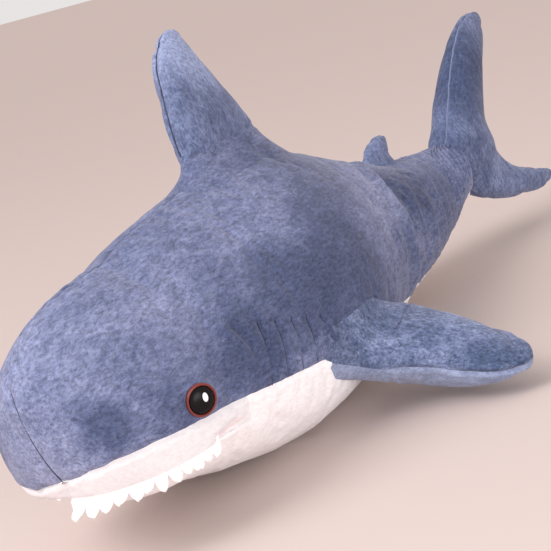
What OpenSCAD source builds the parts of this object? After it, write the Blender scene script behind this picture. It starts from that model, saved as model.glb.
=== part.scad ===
// Soft toy shark, one metre class, lying on its belly with its tail curved to its own left.
// Frame: +Z up, nose towards -Y, tail towards +Y, the shark's left side is +X.
// The origin is the centre of the flat patch of belly that the toy rests on.
// Stations along the body are distances s from the snout, measured along its curved centre line.

/* [Body] */
// Distance from the snout to the origin on the belly
origin_station = 360; // [340:5:380]
// Height of the snout's foremost point
snout_height = 160; // [150:1:170]
// Length of the rounded snout
snout_length = 146; // [140:1:150]
// Sideways curve of the body between chest and stalk, degrees
body_bend = 10; // [0:1:12]
// Extra sideways curve where the stalk meets the tail fin, degrees
stalk_bend = 8; // [0:1:12]
// Thickness of the plush skin with its pile
skin = 3; // [2:0.5:4]
// Gap between skin and stuffing
lining_gap = 0.3; // [0.2:0.1:0.6]
// Further slack between the skin of the body and its stuffing
stuffing_slack = 1.8; // [1.5:0.1:3]

/* [Mouth] */
// Height of the upper lip's edge
mouth_height = 75; // [73:1:78]
// Station of the jaw's hinge line
jaw_hinge_station = 130; // [128:1:134]
// Height of the jaw's hinge line
jaw_hinge_height = 70; // [68:1:72]
// Radius of the jaw's rounded back end
jaw_back_radius = 33; // [30:1:34]
// Depth of the jaw behind the row of teeth
jaw_inset = 7; // [6.5:0.5:9]
// Teeth on each side
teeth_per_side = 11; // [9:1:13]
// Length of a tooth below the lip
tooth_length = 15; // [10:1:17]

/* [Eyes] */
// Diameter of the eye's coloured rim
eye_rim_d = 27; // [24:1:28]
// Diameter of the black pupil
eye_pupil_d = 23; // [20:1:24]
// Station of the eyes
eye_station = 106; // [100:1:112]
// Height of the eyes
eye_height = 115; // [110:1:120]

/* [Fins] */
// Station of the dorsal fin's front corner
dorsal_station = 322; // [315:1:330]
// Lean of the dorsal fin to the shark's right, degrees
dorsal_lean = 18; // [0:1:20]
// Station of the second dorsal fin's front corner
rear_dorsal_station = 661; // [655:1:668]
// Station of the side fins' front corner
pectoral_station = 306; // [300:1:312]
// Droop of the side fins below level, degrees
pectoral_droop = 13; // [8:1:15]

/* [Joints] */
// Station where the tail turns in the body
tail_station = 620; // [610:1:630]
// Station where the tail fin turns in the stalk
caudal_station = 866; // [864:1:870]

/* [Hidden] */

plush_blue = "#65799c";
plush_white = "#f2ece9";
mouth_pink = "#e0a8a6";
thread_blue = "#4c5c7c";
stuffing_white = "#fbfbf8";
half_turn = 180;

// Body outline at each station: [s, top, bottom, half width, height of the widest point]
STATIONS = [
    [100, 218, 44, 84, 92],
    [146, 226, 28, 94, 89],
    [200, 237, 14, 106, 85],
    [280, 245, -4, 121, 82],
    [360, 252, -5, 129, 84],
    [440, 249, -2, 119, 93],
    [520, 224, 9, 103, 100],
    [600, 194, 15, 90, 102],
    [680, 170, 25, 77, 100],
    [760, 154, 45, 57, 102],
    [820, 148, 62, 41, 108],
    [860, 150, 72, 33, 112],
    [900, 152, 80, 27, 116]];
// Height of the seam between blue and white plush: [s, height]
front_seam_height = 88;
FLANK_SEAM = [[0, front_seam_height], [14, front_seam_height], [34, 101], [60, 102], [130, 97],
              [200, 88], [270, 80], [330, 66], [400, 58], [450, 54], [500, 44], [620, 38],
              [700, 46], [780, 66], [860, 86]];
// Roundness of the section above and below its widest point
upper_power_head = 1.4;
upper_power_body = 1.3;
lower_power = 0.78;
snout_station = 2;
chin_power = 2.6;

// ---------- the curved centre line ----------
function smooth(t) = let (u = max(0, min(1, t))) u * u * (3 - 2 * u);
function mix(a, b, t) = a + (b - a) * t;
function heading(s) = body_bend * smooth((s - 370) / 480) + stalk_bend * smooth((s - 780) / 90);
spine_step = 5;
SPINE = [for (s = -50, p = [0, -50]; s <= 1010; p = p + spine_step * [sin(heading(s)), cos(heading(s))],
              s = s + spine_step) [s, p[0], p[1]]];
SPINE_X = [for (q = SPINE) [q[0], q[1]]];
SPINE_Y = [for (q = SPINE) [q[0], q[2]]];
// A point at station s, x to the left of the centre line and z up, in the model's frame
function at(s, x, z) = let (h = heading(s))
    [lookup(s, SPINE_X) + x * cos(h), lookup(s, SPINE_Y) - x * sin(h) - origin_station, z];

// ---------- the body's section ----------
function row_of(s) = max([for (i = [1:len(STATIONS) - 3]) if (i == 1 || STATIONS[i][0] <= s) i]);
function station(s, c) =
    let (i = row_of(s), a = STATIONS[i - 1], b = STATIONS[i], d = STATIONS[i + 1], e = STATIONS[i + 2],
         w = d[0] - b[0], t = (s - b[0]) / w,
         m0 = (d[c] - a[c]) / (d[0] - a[0]) * w, m1 = (e[c] - b[c]) / (e[0] - b[0]) * w)
    b[c] * (2 * pow(t, 3) - 3 * t * t + 1) + m0 * (pow(t, 3) - 2 * t * t + t)
    + d[c] * (3 * t * t - 2 * pow(t, 3)) + m1 * (pow(t, 3) - t * t);
// 0 at the snout's foremost point, 1 where the rounded snout ends
function snout_part(s) = max(0, (s - snout_station) / (snout_length - snout_station));
function swell(s, power = 2) = s >= snout_length ? 1 : pow(1 - pow(1 - snout_part(s), power), 1 / power);
// An inset surface starts that much further back at the snout
function behind(s, inset) = s >= snout_length ? s : mix(snout_station + inset, snout_length, snout_part(s));
// [top, bottom, half width, widest height] of the section, shrunk by inset
function section(s, inset) =
    let (k = swell(s), q = max(s, snout_length))
    [mix(snout_height, station(q, 1) - inset, k),
     mix(snout_height, station(q, 2) + inset, swell(s, chin_power)),
     (station(q, 3) - inset) * k, mix(snout_height, station(q, 4), k)];
function upper_power(s) = mix(upper_power_head, upper_power_body, max(0, min(1, (s - 150) / 250)));
// Section point at angle a, counted from the top towards the left; the belly is flat at height 0
function skin_xz(s, a, inset) =
    let (g = section(s, inset), up = cos(a) >= 0, w = pow(abs(sin(a)), up ? upper_power(s) : lower_power))
    [g[2] * w * sign(sin(a)),
     max(inset, g[3] + (up ? g[0] - g[3] : g[3] - g[1]) * cos(a))];
function skin_pt(s, a, inset = 0) = let (p = skin_xz(s, a, inset)) at(behind(s, inset), p[0], p[1]);
// Angle at which the section passes height z, 180 where it lies wholly above z
function angle_at(s, z, inset = 0) =
    let (g = section(s, inset), reach = z > g[3] ? g[0] - g[3] : g[3] - g[1], c = (z - g[3]) / max(1, reach))
    acos(max(-1, min(1, c)));
function seam_angle(s) = angle_at(s, lookup(s, FLANK_SEAM));
function lip_angle(s) = angle_at(s, mouth_height);
// Station where the underside of the snout rises to height z
function front_of(z) = let (k = (snout_height - z) / (snout_height - station(snout_length, 2)))
    snout_station + (snout_length - snout_station) * (1 - pow(1 - pow(k, chin_power), 1 / chin_power));

// ---------- closed meshes ----------
function reversed(faces) = [for (f = faces) [f[2], f[1], f[0]]];
// Rings of points joined into one closed solid
module loft(rings) {
    n = len(rings[0]);
    last = len(rings) - 1;
    faces = concat(
        [for (i = [0:last - 1], j = [0:n - 1]) let (k = (j + 1) % n)
            [i * n + j, i * n + k, (i + 1) * n + k]],
        [for (i = [0:last - 1], j = [0:n - 1]) let (k = (j + 1) % n)
            [i * n + j, (i + 1) * n + k, (i + 1) * n + j]],
        zip_cap(0, n, false), zip_cap(last * n, n, true));
    polyhedron([for (r = rings, p = r) p], reversed(faces), convexity = 6);
}
// Cap that crosses a ring to and fro between its two halves
function zip_cap(base, n, flip) =
    let (order = [for (t = [0:n - 1]) t % 2 == 0 ? t / 2 : n - (t + 1) / 2])
    [for (t = [0:n - 3]) let (a = order[t], b = order[t + 1], c = order[t + 2], turn = (t % 2 == 1) != flip)
        turn ? [base + b, base + a, base + c] : [base + a, base + b, base + c]];
// Two grids of points, outside and inside, joined into one closed panel.
// With point_start the first row is a single point.
module panel(outer, inner, point_start = false) {
    rows = len(outer);
    cols = len(outer[0]);
    half = rows * cols;
    function at_index(side, i, j) = side * half + (point_start && i == 0 ? 0 : i * cols + j);
    function quad(a, b, c, d) = [for (f = [[a, b, c], [a, c, d]])
        if (f[0] != f[1] && f[1] != f[2] && f[0] != f[2]) f];
    faces = concat(
        [for (i = [0:rows - 2], j = [0:cols - 2]) each quad(at_index(0, i, j), at_index(0, i, j + 1),
            at_index(0, i + 1, j + 1), at_index(0, i + 1, j))],
        [for (i = [0:rows - 2], j = [0:cols - 2]) each quad(at_index(1, i, j), at_index(1, i + 1, j),
            at_index(1, i + 1, j + 1), at_index(1, i, j + 1))],
        [for (i = [0:rows - 2]) each quad(at_index(0, i + 1, 0), at_index(1, i + 1, 0),
            at_index(1, i, 0), at_index(0, i, 0))],
        [for (i = [0:rows - 2]) each quad(at_index(0, i + 1, cols - 1), at_index(0, i, cols - 1),
            at_index(1, i, cols - 1), at_index(1, i + 1, cols - 1))],
        point_start ? [] : [for (j = [0:cols - 2]) each quad(at_index(0, 0, j), at_index(1, 0, j),
            at_index(1, 0, j + 1), at_index(0, 0, j + 1))],
        [for (j = [0:cols - 2]) each quad(at_index(0, rows - 1, j + 1), at_index(1, rows - 1, j + 1),
            at_index(1, rows - 1, j), at_index(0, rows - 1, j))]);
    polyhedron([for (g = [outer, inner], r = g, p = r) p], reversed(faces), convexity = 6);
}
// Thin cord of thread along a route
module thread(route, r = 0.8, sides = 6) {
    n = len(route);
    rings = [for (i = [0:n - 1])
        let (d = route[min(i + 1, n - 1)] - route[max(i - 1, 0)], t = d / norm(d),
             up = abs(t[2]) > 0.8 ? [1, 0, 0] : [0, 0, 1],
             a = cross(t, up), u = a / norm(a), v = cross(t, u))
        [for (k = [0:sides - 1]) route[i] + r * (cos(k * 360 / sides) * u + sin(k * 360 / sides) * v)]];
    loft(rings);
}

// ---------- rings and panels of the body ----------
function rings_between(a, b, step) = let (n = max(1, round((b - a) / step)))
    [for (i = [0:n]) mix(a, b, i / n)];
ring_step = 30;
back_columns = 8;
belly_columns = 12;
stuffing_inset = skin + lining_gap;
body_inset = stuffing_inset + stuffing_slack;
front_seam_station = front_of(front_seam_height);
lip_end_station = jaw_hinge_station + 4;
snout_steps = [0.11, 0.14, 0.18, 0.23, 0.3, 0.42, 0.6, 0.8];
function snout_rings() = concat([mix(snout_station, front_seam_station, 0.3), front_seam_station],
    [for (f = snout_steps) mix(snout_station, snout_length, f)], [lip_end_station]);
body_stations = concat(rings_between(snout_length, tail_station, ring_step));
function grid(stations, from, to, columns, inset) =
    [for (s = stations) [for (j = [0:columns]) skin_pt(s, mix(from(s), to(s), j / columns), inset)]];
function plain_ring(s, inset, columns = 24) =
    [for (j = [0:columns - 1]) skin_pt(s, j * 360 / columns, inset)];
// Ring that is cut off flat at a lowest height
function cut_ring(s, inset, lowest, columns = 24) = let (a = min(174, angle_at(s, lowest, inset)))
    [for (j = [0:columns - 1]) skin_pt(s, mix(-a, a, j / (columns - 1)), inset)];

module back_panel(side) {
    stations = concat([snout_station], snout_rings(), body_stations);
    from = function (s) side > 0 ? 0 : -seam_angle(s);
    to = function (s) side > 0 ? seam_angle(s) : 0;
    color(plush_blue) panel(grid(stations, from, to, back_columns, 0),
        grid(stations, from, to, back_columns, skin), point_start = true);
}
module left_back_panel() { back_panel(1); }
module right_back_panel() { back_panel(-1); }

module belly_panel() {
    from = function (s) seam_angle(s);
    to = function (s) 360 - seam_angle(s);
    stations = concat([lip_end_station], body_stations);
    color(plush_white) panel(grid(stations, from, to, belly_columns, 0),
        grid(stations, from, to, belly_columns, skin));
}

// White lip under the snout, from the flank seam down to the mouth
module lip_panel(side) {
    stations = concat([for (s = snout_rings()) if (s >= front_seam_station && s < lip_end_station) s],
        [lip_end_station]);
    from = function (s) side > 0 ? seam_angle(s) : -lip_angle(s);
    to = function (s) side > 0 ? lip_angle(s) : -seam_angle(s);
    color(plush_white) panel(grid(stations, from, to, 4, 0), grid(stations, from, to, 4, skin),
        point_start = true);
}
module left_lip_panel() { lip_panel(1); }
module right_lip_panel() { lip_panel(-1); }

// ---------- mouth ----------
tooth_inset = skin + 1.5;
palate_inset = jaw_inset + 3;
tooth_thickness = 2;
// The foremost teeth stand that much further back
front_tooth_inset = 2.5;
tooth_top = mouth_height + 5;
palate_gap = 1;
lining_thickness = 2.5;
stuffing_floor = tooth_top + palate_gap;
function width_at(s, z, inset) = skin_xz(s, angle_at(s, z, inset), inset)[0];
palate_stations = rings_between(front_of(mouth_height) + 20, jaw_hinge_station - 6, 12);
module palate_lining() {
    flat = function (z) [for (s = palate_stations) let (w = width_at(s, z, palate_inset))
        [for (j = [-2:2]) at(s, j * w / 2, z)]];
    low = mouth_height + palate_gap;
    color(mouth_pink) panel(flat(low + lining_thickness), flat(low));
}

// One row of felt teeth, cut as a strip with rounded points and sewn behind the lip
tooth_points = [0, 0.75, 1, 0.75];
module teeth_strip(side) {
    count = teeth_per_side * len(tooth_points);
    row = function (z_of, inset) [for (i = [0:count])
        let (s = mix(front_of(mouth_height) + 5, jaw_hinge_station - 14, pow(i / count, 1.25)),
             deeper = front_tooth_inset * max(0, 1 - 3 * i / count))
        at(s, side * width_at(s, mouth_height, inset + deeper), z_of(i))];
    tip = function (i) mouth_height - mix(tooth_length, 8, i / count) * tooth_points[i % len(tooth_points)];
    top = function (i) tooth_top;
    face = function (inset) side > 0 ? [row(tip, inset), row(top, inset)]
                                     : [row(top, inset), row(tip, inset)];
    color(plush_white) panel(face(tooth_inset), face(tooth_inset + tooth_thickness));
}
module left_teeth_strip() { teeth_strip(1); }
module right_teeth_strip() { teeth_strip(-1); }

// ---------- lower jaw: q counts millimetres before the hinge, or degrees round its back end ----------
jaw_front = -78;
jaw_back_turn = 68;
jaw_rows = [jaw_front, -66, -50, -32, -14, 0, 24, 46, jaw_back_turn];
jaw_columns = 12;
function jaw_s(q, inset) = jaw_hinge_station + (q <= 0 ? q : (jaw_back_radius + jaw_inset - inset) * sin(q));
function jaw_floor(q, inset) = q < 0 ? 0 : jaw_hinge_height - (jaw_back_radius + jaw_inset - inset) * cos(q);
function jaw_top(q, inset) = mouth_height - 1 - max(0, jaw_s(q, inset) - jaw_hinge_station) * 0.25;
// The floor of the rounded back end keeps a little of the section's own curve
jaw_floor_curve = 0.08;
function jaw_pt(q, a, inset) =
    let (s = jaw_s(q, inset), p = skin_xz(s, a, inset), low = jaw_floor(q, inset),
         under = max(0, low - p[1]))
    at(s, p[0], under > 0 ? low - jaw_floor_curve * under : p[1]);
function jaw_arc(q, inset, drop = 0) = let (a = angle_at(jaw_s(q, inset), jaw_top(q, inset) - drop, inset))
    [for (j = [0:jaw_columns]) jaw_pt(q, mix(a, 360 - a, j / jaw_columns), inset)];
module chin_panel() {
    color(plush_white) panel([for (q = jaw_rows) jaw_arc(q, jaw_inset)],
        [for (q = jaw_rows) jaw_arc(q, jaw_inset + skin)]);
}
floor_drop = lining_thickness + lining_gap;
module jaw_stuffing() {
    deep = jaw_inset + body_inset;
    color(stuffing_white) loft([for (q = jaw_rows) jaw_arc(q, deep, floor_drop)]);
}
module mouth_floor_lining() {
    deep = jaw_inset + body_inset;
    flat = function (drop) [for (q = jaw_rows) let (s = jaw_s(q, deep), z = jaw_top(q, deep) - drop,
        w = width_at(s, jaw_top(q, deep) - floor_drop, deep)) [for (j = [-2:2]) at(s, j * w / 2, z)]];
    color(mouth_pink) panel(flat(0), flat(lining_thickness));
}

// ---------- stuffing of head and chest ----------
throat_station = 168;
tail_ball_gap = 4;
module head_stuffing() {
    stations = concat(snout_rings(), rings_between(snout_length, throat_station, 22));
    color(stuffing_white) loft([for (s = stations) cut_ring(s, body_inset, stuffing_floor)]);
}
module body_stuffing() {
    tail_end = tail_station - station(tail_station, 3) - tail_ball_gap + skin;
    color(stuffing_white) loft([for (s = rings_between(throat_station + lining_gap, tail_end, ring_step))
        plain_ring(s, body_inset)]);
}

// ---------- eyes: a domed pupil on a stalk, held by a washer inside ----------
stalk_r = 2.5;
// The pupil's dome rises from a short straight edge
pupil_edge = 1.5;
seat_gap = 0.3;
washer_r = 11;
washer_depth = 11;
washer_thickness = 1.5;
eye_turn = 33;
eye_tilt = 12;
eye_lift = 3;
eye_rim_height = 2.4;
eye_dome = 6;
stalk_length = 16;
module eye_place(side) {
    x = width_at(eye_station, eye_height, 0);
    translate(at(eye_station, side * x, eye_height))
        rotate([0, 0, side > 0 ? -eye_turn : 180 + eye_turn]) rotate([0, 90 - eye_tilt, 0])
        translate([0, 0, eye_lift]) children();
}
module eye_pupil(side) {
    r = eye_pupil_d / 2;
    color("black") eye_place(side) rotate_extrude($fn = 48) polygon(concat(
        [[0, -stalk_length], [stalk_r, -stalk_length], [stalk_r, seat_gap], [r, seat_gap]],
        [for (a = [0:15:90]) [r * cos(a), pupil_edge + (eye_dome - pupil_edge) * sin(a)]]));
}
module eye_rim(side) {
    r = eye_pupil_d / 2 + 0.1;
    w = eye_rim_d / 2 - r;
    color("#8a4a34") eye_place(side) rotate_extrude($fn = 48) polygon(concat(
        [[r, seat_gap], [r + w, seat_gap]],
        [for (a = [0:30:180]) [r + w / 2 + w / 2 * cos(a), 1 + (eye_rim_height - 1) * sin(a)]]));
}
module eye_washer(side) {
    bore = stalk_r + 0.1;
    color("white") eye_place(side) translate([0, 0, -washer_depth]) rotate_extrude($fn = 48)
        polygon([[bore, 0], [washer_r, 0], [washer_r, washer_thickness], [bore, washer_thickness]]);
}
module left_eye_pupil() { eye_pupil(1); }
module right_eye_pupil() { eye_pupil(-1); }
module left_eye_rim() { eye_rim(1); }
module right_eye_rim() { eye_rim(-1); }
module left_eye_washer() { eye_washer(1); }
module right_eye_washer() { eye_washer(-1); }

// ---------- threads ----------
thread_lift = 1.1;
seam_thread_lift = 1.5;
gills = 5;
// [station, height] of the first gill's top and foot, and the steps on to the next gill
gill_top = [209, 142];
gill_top_step = [18, -6];
gill_foot = [195, 92];
gill_foot_step = [21, -2];
module gill_stitches(side) {
    color(thread_blue) for (i = [0:gills - 1])
        thread([for (t = [0:0.25:1])
            let (p = mix(gill_top + i * gill_top_step, gill_foot + i * gill_foot_step, t))
            skin_pt(p[0], side * angle_at(p[0], p[1]), -thread_lift)]);
}
module left_gill_stitches() { gill_stitches(1); }
module right_gill_stitches() { gill_stitches(-1); }
module dorsal_seam_thread() {
    front = [for (f = [1, 0.6, 0.25])
        skin_pt(mix(snout_station, front_seam_station, f), half_turn, -thread_lift)];
    color(thread_blue) thread(concat(front,
        [for (s = concat([snout_station], snout_rings(), body_stations)) skin_pt(s, 0, -thread_lift)]));
}
module flank_seam_thread(side) {
    stations = concat([for (s = snout_rings()) if (s > front_seam_station + 3) s], body_stations);
    color("white") thread([for (s = stations) skin_pt(s, side * seam_angle(s), -seam_thread_lift)]);
}
module left_flank_seam_thread() { flank_seam_thread(1); }
module right_flank_seam_thread() { flank_seam_thread(-1); }
// Slanted hand stitches that close the stuffing hole under the rear belly
closure_stations = [500:9:572];
stitch_reach = 5;
stitch_slant = 3;
module belly_closure_stitches() {
    end = function (s, x) at(s, x, section(s, 0)[1] - thread_lift);
    color("white") for (s = closure_stations)
        thread([end(s, -stitch_reach), end(s + stitch_slant, stitch_reach)]);
}
// Blank folded care label, sewn into the left flank seam, standing out from it
label_station = 446;
label_size = [22, 20, 1.6];
label_tilt = 60;
label_lift = 5.6;
module care_label() {
    color("white") translate(skin_pt(label_station, seam_angle(label_station), -label_lift))
        rotate([0, -label_tilt, 0]) translate([0, -label_size[1] / 2, 0]) cube(label_size);
}

// ---------- fins: rows of [front u, front w, rear u, rear w, half thickness] ----------
// A sixth number is the half thickness of the under side, where that differs
// frame is [corner, u towards the tail, w outwards, n across, twist at w]
fin_columns = 8;
no_twist = function (w) 0;
function fin_frame(corner, u, w, twist = no_twist) = [corner, u, w, cross(u, w), twist];
function fin_pt(f, row, a, inset) =
    let (front = [row[0], row[1]], rear = [row[2], row[3]],
         mid = (front + rear) / 2, arm = (front - rear) / 2,
         p = mid + arm * cos(a) * max(0.1, 1 - inset / norm(arm)),
         half = sin(a) < 0 && len(row) > 5 ? row[5] : row[4], n = max(0.6, half - inset) * sin(a),
         t = f[4](p[1]))
    f[0] + p[1] * f[2] + (p[0] * cos(t) - n * sin(t)) * f[1] + (p[0] * sin(t) + n * cos(t)) * f[3];
function fin_grid(f, rows, from, inset) = [for (r = rows) [for (j = [0:fin_columns])
    fin_pt(f, r, from + half_turn * j / fin_columns, inset)]];
module fin_panel(f, rows, from) { panel(fin_grid(f, rows, from, 0), fin_grid(f, rows, from, skin)); }
module fin_stuffing(f, rows) {
    color(stuffing_white) loft([for (r = rows) [for (j = [0:2 * fin_columns - 1])
        fin_pt(f, r, half_turn * j / fin_columns, stuffing_inset)]]);
}
// The thread passes over the tip of the fin at this distance
tip_lift = 2;
module fin_edge_thread(f, rows) {
    count = len(rows);
    front = function (i, lift = 0) fin_pt(f, rows[i], 0, -seam_thread_lift) + lift * f[2];
    rear = function (i, lift = 0) fin_pt(f, rows[i], half_turn, -seam_thread_lift) + lift * f[2];
    color(thread_blue) thread(concat([for (i = [0:count - 1]) front(i)],
        [front(count - 1, tip_lift), rear(count - 1, tip_lift)], [for (i = [count - 1:-1:0]) rear(i)]));
}

PECTORAL = [[14, 18, 113, 18, 4, 4], [15, 28, 111, 26, 12, 17], [16, 45, 106, 42, 17, 29],
            [15, 75, 98, 70, 19, 33], [13, 104, 90, 96, 17, 29], [17, 130, 80, 120, 13, 22],
            [27, 149, 70, 141, 9, 14], [42, 160, 59, 156, 4, 5]];
function swapped(rows) = [for (r = rows) [r[0], r[1], r[2], r[3], r[5], r[4]]];
pectoral_u = [-0.05, 0.975, 0.22];
pectoral_side = 115;
pectoral_height = 55;
function pectoral_frame(side) =
    let (u = pectoral_u / norm(pectoral_u),
         w0 = [cos(pectoral_droop), 0.1, -sin(pectoral_droop)], w1 = w0 - (w0 * u) * u, w = w1 / norm(w1),
         m = [side, 1, 1])
    fin_frame([side * pectoral_side, pectoral_station - origin_station, pectoral_height],
              [for (i = [0:2]) u[i] * m[i]], [for (i = [0:2]) w[i] * m[i]]);
function pectoral_rows(side) = side > 0 ? swapped(PECTORAL) : PECTORAL;
module pectoral_top(side) {
    color(plush_blue) fin_panel(pectoral_frame(side), pectoral_rows(side), side > 0 ? 180 : 0);
}
module pectoral_under(side) {
    color("#8d9cba") fin_panel(pectoral_frame(side), pectoral_rows(side), side > 0 ? 0 : 180);
}
module left_pectoral_top_panel() { pectoral_top(1); }
module left_pectoral_under_panel() { pectoral_under(1); }
module left_pectoral_stuffing() { fin_stuffing(pectoral_frame(1), pectoral_rows(1)); }
module left_pectoral_edge_thread() { fin_edge_thread(pectoral_frame(1), pectoral_rows(1)); }
module right_pectoral_top_panel() { pectoral_top(-1); }
module right_pectoral_under_panel() { pectoral_under(-1); }
module right_pectoral_stuffing() { fin_stuffing(pectoral_frame(-1), pectoral_rows(-1)); }
module right_pectoral_edge_thread() { fin_edge_thread(pectoral_frame(-1), pectoral_rows(-1)); }

DORSAL = [[-7, 0, 149, 0, 4], [2, 18, 141, 18, 15], [13, 42, 132, 42, 18], [27, 70, 122, 70, 17],
          [42, 95, 114, 95, 14], [60, 114, 111, 114, 11], [76, 125, 109, 127, 7], [88, 131, 104, 132, 4]];
dorsal_height = 257;
dorsal_frame = fin_frame([-2, dorsal_station - origin_station, dorsal_height], [0, 1, 0],
                         [-sin(dorsal_lean), 0, cos(dorsal_lean)]);
module dorsal_fin_left_panel() { color(plush_blue) fin_panel(dorsal_frame, DORSAL, 0); }
module dorsal_fin_right_panel() { color(plush_blue) fin_panel(dorsal_frame, DORSAL, 180); }
module dorsal_fin_stuffing() { fin_stuffing(dorsal_frame, DORSAL); }
module dorsal_fin_edge_thread() { fin_edge_thread(dorsal_frame, DORSAL); }

REAR_DORSAL = [[8, 0, 61, 0, 3.6], [14, 10, 58, 10, 10], [22, 19, 57, 19, 9], [31, 26, 56, 26, 7],
               [39, 31, 53, 30, 4]];
rear_dorsal_height = 179;
rear_dorsal_frame = let (h = heading(rear_dorsal_station + 30), slope = -12, u = [sin(h), cos(h), sin(slope)],
    v = u / norm(u), up = [0, 0, 1] - v[2] * v)
    fin_frame(at(rear_dorsal_station, 0, rear_dorsal_height), v, up / norm(up));
module rear_dorsal_left_panel() { color(plush_blue) fin_panel(rear_dorsal_frame, REAR_DORSAL, 0); }
module rear_dorsal_right_panel() { color(plush_blue) fin_panel(rear_dorsal_frame, REAR_DORSAL, 180); }
module rear_dorsal_stuffing() { fin_stuffing(rear_dorsal_frame, REAR_DORSAL); }

// Tail fin, from the lower tip up to the upper tip
CAUDAL = [[144, -66, 150, -58, 4], [118, -70, 142, -50, 9], [80, -66, 120, -42, 15], [42, -57, 94, -31, 20],
          [8, -40, 76, -16, 24], [-15, -8, 64, 2, 26], [-14, 14, 62, 20, 26], [-8, 38, 63, 38, 26],
          [-22, 50, 68, 48, 26], [-4, 80, 80, 78, 24], [20, 112, 100, 110, 20], [46, 140, 124, 138, 15],
          [72, 162, 134, 162, 10], [96, 173, 126, 174, 5]];
caudal_height = 112;
// The upper lobe turns back towards straight, and the lower lobe curls further round
lobe_twist = 10;
caudal_frame = let (h = heading(caudal_station)) fin_frame(at(caudal_station, 0, caudal_height),
    [sin(h), cos(h), 0], [0, 0, 1], function (w) -sign(w) * lobe_twist * smooth(abs(w) / 50));
module caudal_fin_left_panel() { color(plush_blue) fin_panel(caudal_frame, CAUDAL, 0); }
module caudal_fin_right_panel() { color(plush_blue) fin_panel(caudal_frame, CAUDAL, 180); }
module caudal_fin_stuffing() { fin_stuffing(caudal_frame, CAUDAL); }
module caudal_fin_edge_thread() { fin_edge_thread(caudal_frame, CAUDAL); }

// ---------- tail: its skin starts inside the body's skin, round a vertical hinge ----------
tail_rim = 853;
tail_tuck = 5;
tail_tuck_length = 60;
tail_ring_step = 26;
tail_stuffing_end = 836;
// The top seam shows from this distance behind the hinge
seam_thread_start = 45;
// The first ring stands just behind the hinge
tail_stations = rings_between(tail_station + 0.5, tail_rim, tail_ring_step);
function tail_inset(s) = tail_tuck * (1 - smooth((s - tail_station) / tail_tuck_length));
function tail_grid(from, to, columns, inset) =
    [for (s = tail_stations) [for (j = [0:columns])
        skin_pt(s, mix(from(s), to(s), j / columns), tail_inset(s) + inset)]];
module tail_skin(shade, from, to, columns) {
    color(shade) panel(tail_grid(from, to, columns, 0), tail_grid(from, to, columns, skin));
}
module tail_left_panel() {
    tail_skin(plush_blue, function (s) 0, function (s) seam_angle(s), back_columns);
}
module tail_right_panel() {
    tail_skin(plush_blue, function (s) -seam_angle(s), function (s) 0, back_columns);
}
module tail_belly_panel() {
    tail_skin(plush_white, function (s) seam_angle(s), function (s) 360 - seam_angle(s), 8);
}
// Stuffed ball at the front end, then the stuffing of the tail
module tail_stuffing() {
    h = heading(tail_station);
    deep = tail_tuck + body_inset;
    ball = [for (turn = [78, 60, 40, 20]) [for (j = [0:23])
        let (p = skin_xz(tail_station, j * 15, deep), x = p[0])
        at(tail_station, x * cos(turn), p[1]) - abs(x) * sin(turn) * [sin(h), cos(h), 0]]];
    color(stuffing_white) loft(concat(ball, [for (s = rings_between(tail_station + 0.5, tail_stuffing_end,
        tail_ring_step))
        plain_ring(s, tail_inset(s) + body_inset)]));
}
module tail_top_seam_thread() {
    color(thread_blue) thread([for (s = rings_between(tail_station + seam_thread_start, tail_rim, tail_ring_step))
        skin_pt(s, 0, tail_inset(s) - thread_lift)]);
}

left_back_panel();
right_back_panel();
belly_panel();
left_lip_panel();
right_lip_panel();
palate_lining();
left_teeth_strip();
right_teeth_strip();
left_eye_pupil();
right_eye_pupil();
left_eye_rim();
right_eye_rim();
left_eye_washer();
right_eye_washer();
left_gill_stitches();
right_gill_stitches();
dorsal_seam_thread();
left_flank_seam_thread();
right_flank_seam_thread();
belly_closure_stitches();
care_label();
head_stuffing();
body_stuffing();
chin_panel();
mouth_floor_lining();
jaw_stuffing();
left_pectoral_top_panel();
left_pectoral_under_panel();
left_pectoral_stuffing();
left_pectoral_edge_thread();
right_pectoral_top_panel();
right_pectoral_under_panel();
right_pectoral_stuffing();
right_pectoral_edge_thread();
dorsal_fin_left_panel();
dorsal_fin_right_panel();
dorsal_fin_stuffing();
dorsal_fin_edge_thread();
rear_dorsal_left_panel();
rear_dorsal_right_panel();
rear_dorsal_stuffing();
tail_left_panel();
tail_right_panel();
tail_belly_panel();
tail_stuffing();
tail_top_seam_thread();
caudal_fin_left_panel();
caudal_fin_right_panel();
caudal_fin_stuffing();
caudal_fin_edge_thread();
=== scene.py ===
"""Looks of the plush shark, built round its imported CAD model.

Lengths in the tables below are millimetres and angles are degrees; every finished piece is in metres.
A station s is a distance from the snout along the body's curved centre line, and an angle on the body's
section counts from the top of the back towards the shark's left side."""
import math
import bpy
import numpy as np
from mathutils import Matrix, Vector


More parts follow.
